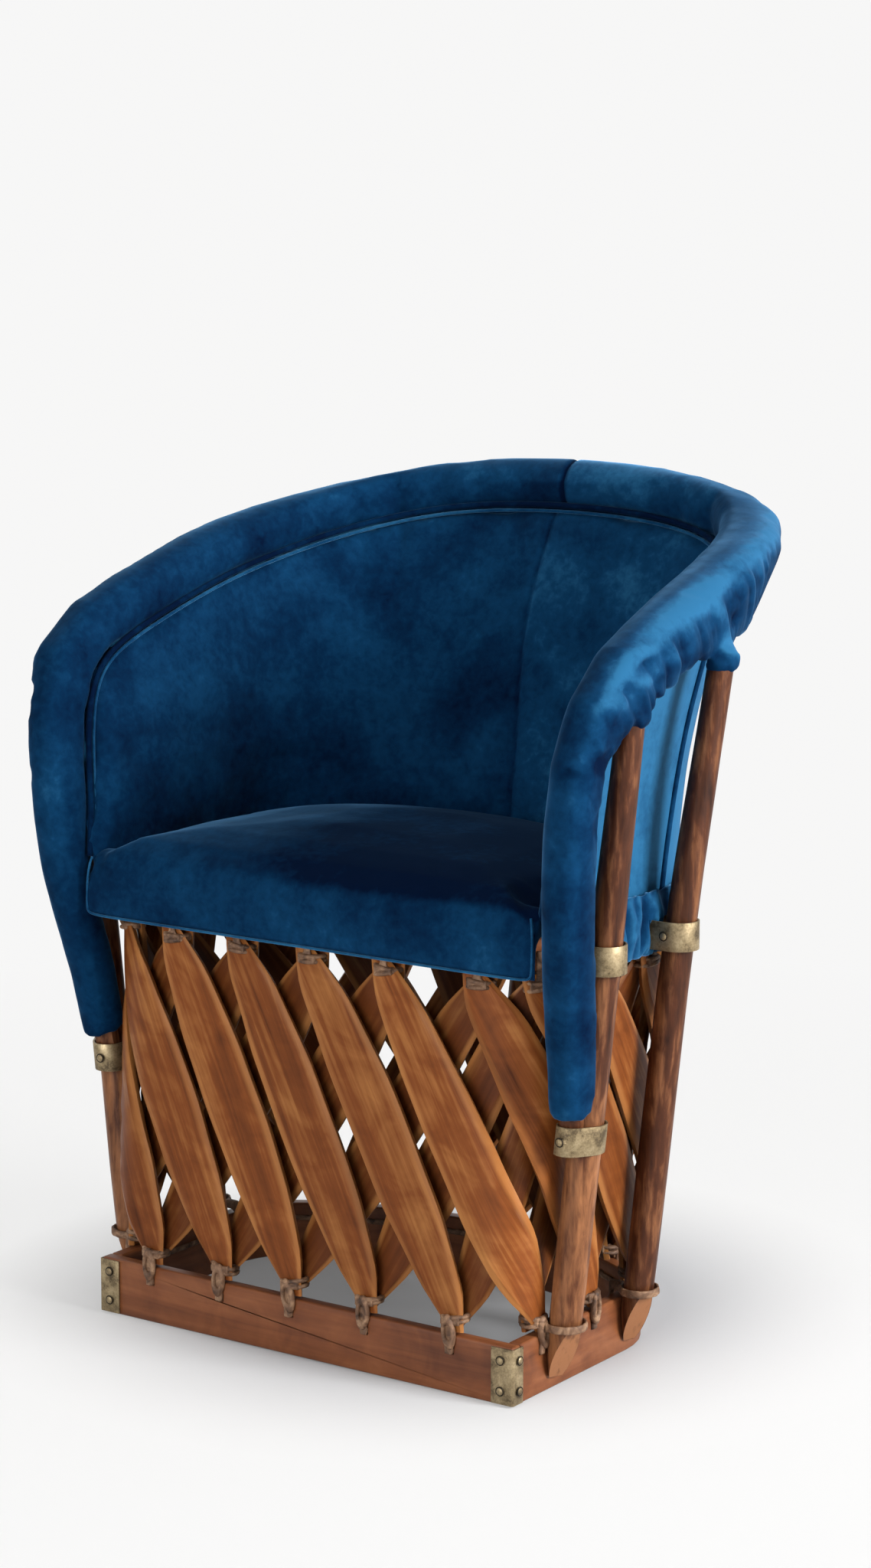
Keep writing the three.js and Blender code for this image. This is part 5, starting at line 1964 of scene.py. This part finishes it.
@dataclass
class Seat:
    """The leather sling, the crowned cushion and the gathered velvet round the hoop."""

    finishes: Finishes
    barrel: SlatBarrel
    voxel: float = 0.005
    shrink: float = 0.001
    swelling: Puff = Puff(pressure=4.0, cap=0.006)
    sling_edge: float = 0.0006
    free_heights: Span = (0.425, 0.455)
    top_heights: Span = (0.44, 0.47)
    unevenness: float = 0.0016
    uneven_waves: float = 8.0
    stroke_waves: Spot = (9, 12, 14)
    arm_shadow_sides: Span = (-0.2, 0.1)
    welt_radius: float = 0.0012
    welt_head: float = 0.062
    gather_depth: float = 0.0055
    gather_waves: float = 62.0
    end_drop: float = 0.024
    end_depths: Span = (0.145, 0.185)
    end_foot: float = 0.44

    def build(self) -> list[Piece]:
        """Make the sling, the cushion with its welt, and the apron."""
        return [self._sling(), self._cushion(), self._welt(), self._apron()]

    def _sling(self) -> Piece:
        """The leather sheet stretched over the hoop.

        Returns:
            The finished piece.
        """
        piece = cad_copy("seat_sling", "leather_seat_sling")
        soften(piece, self.sling_edge, 2, 40)
        smooth_by_angle(piece, 40)
        dress(piece, self.finishes.leather, "leather", "seat_sling")
        return piece

    def _cushion(self) -> Piece:
        """The cushion with its deep front border, and a painted shadow on the right of its top.

        Returns:
            The finished piece.
        """
        piece = skin(cad_copy("seat_pad", "velvet_seat_cushion"), self.voxel, self.shrink, 5)
        self.swelling.run(piece, ramp(coordinates(piece)[:, 2], *self.free_heights))
        divide(piece, 1)
        rows, ways = coordinates(piece), normals(piece)
        top = ramp(rows[:, 2], *self.top_heights)
        push(piece, self.unevenness * top * cloud(rows, self.uneven_waves, 8.0))
        strokes = cloud(rows, self.stroke_waves, 41.0, 3)
        # Painted shadow of the right arm over the right of the seat's top.
        shade = -1.5 * ramp(rows[:, 0], *self.arm_shadow_sides) * ramp(ways[:, 2], 0.3, 0.8)
        clothe(piece, self.finishes.velvet, 0.4 * strokes + shade, "seat_pad")
        return piece

    def _welt(self) -> Piece:
        """The fine welt round the lower edge and ends of the cushion's front border.

        Returns:
            The finished piece.
        """
        low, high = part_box("seat_pad")
        wide, front = high.x - 0.0034, low.y + 0.0026
        foot, head = low.z + 0.0036, low.z + self.welt_head
        right = [(wide - 0.004, front + 0.004, head), (wide, front + 0.001, head - 0.012),
                 (wide, front, foot + 0.012), (wide - 0.001, front, foot + 0.002)]
        left = [(-x, y, z) for x, y, z in reversed(right)]
        along = [(wide * share, front, foot) for share in (0.96, 0.6, 0.2, -0.2, -0.6, -0.96)]
        middles = [Vector(p) for p in (*right, *along, *left)]
        piece = tube("velvet_cushion_welt", middles, self.welt_radius)
        # The welt is painted lighter, a painted highlight along it.
        clothe(piece, self.finishes.velvet, 1.4)
        return piece

    def _apron(self) -> Piece:
        """The velvet gathered round the outside of the hoop, with painted light and shade on its gathers.

        Returns:
            The finished piece.
        """
        piece = cad_copy("seat_apron", "velvet_seat_apron")
        crease_sharp(piece, 60)
        divide(piece, 3)
        rows = coordinates(piece)
        low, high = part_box("seat_apron")
        ends = ramp(-rows[:, 1], *self.end_depths)
        rows[:, 2] -= self.end_drop * ends * ramp(rows[:, 2], self.end_foot, high.z)
        path = HoopPath(self.barrel.seat_plan, 0.0)
        shares = np.array([path.share_near(x, y - self.barrel.shift) for x, y, _ in rows])
        height = (rows[:, 2] - low.z) / (high.z - low.z)
        around = shares * path.length * self.gather_waves
        guide = np.stack([around, height * 0.9, np.zeros(len(rows))], axis=1)
        ridges = 1 - 2.2 * np.abs(cloud(guide, 1.0, 9.0))
        fullness = 0.35 + 0.65 * np.sin(np.pi * np.clip(height, 0, 1))
        place(piece, rows + normals(piece) * (self.gather_depth * ridges * fullness)[:, None])
        # Painted light on the ridges of the gathers and painted shade in the hollows between them.
        clothe(piece, self.finishes.velvet, 0.4 + 1.4 * ridges, "seat_apron")
        return piece


def report(name: str, made: Iterable[Piece]) -> None:
    """Log each piece of a sub-assembly with its triangles."""
    for piece in made:
        piece.data.calc_loop_triangles()
        LOG.info("%s: %s, %d triangles", name, piece.name, len(piece.data.loop_triangles))


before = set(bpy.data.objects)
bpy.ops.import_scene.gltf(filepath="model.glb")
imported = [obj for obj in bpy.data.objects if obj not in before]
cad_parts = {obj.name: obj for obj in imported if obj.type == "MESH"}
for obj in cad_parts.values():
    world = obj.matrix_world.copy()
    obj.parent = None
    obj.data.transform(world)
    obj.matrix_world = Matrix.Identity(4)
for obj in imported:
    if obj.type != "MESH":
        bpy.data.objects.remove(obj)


def main() -> None:
    """Build the whole scene in order."""
    logging.basicConfig(level=logging.INFO, format="%(name)s %(message)s")
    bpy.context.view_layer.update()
    PhotoCamera().build()
    Studio().build()
    finishes = Finishes()
    barrel = SlatBarrel(finishes.slat)
    assemblies: list[tuple[str, Callable[[], list[Piece]]]] = [
        ("barrel", barrel.build),
        ("frame", WoodFrame(finishes, barrel).build),
        ("lacing", Lacing(finishes.leather, barrel).build),
        ("metal", Metalwork(finishes.brass).build),
        ("roll", ArmRoll(finishes.velvet).build),
        ("back", BackPanels(finishes.velvet).build),
        ("seat", Seat(finishes, barrel).build),
    ]
    for name, build in assemblies:
        report(name, build())
    deselect_all()


if __name__ == "__main__":
    main()
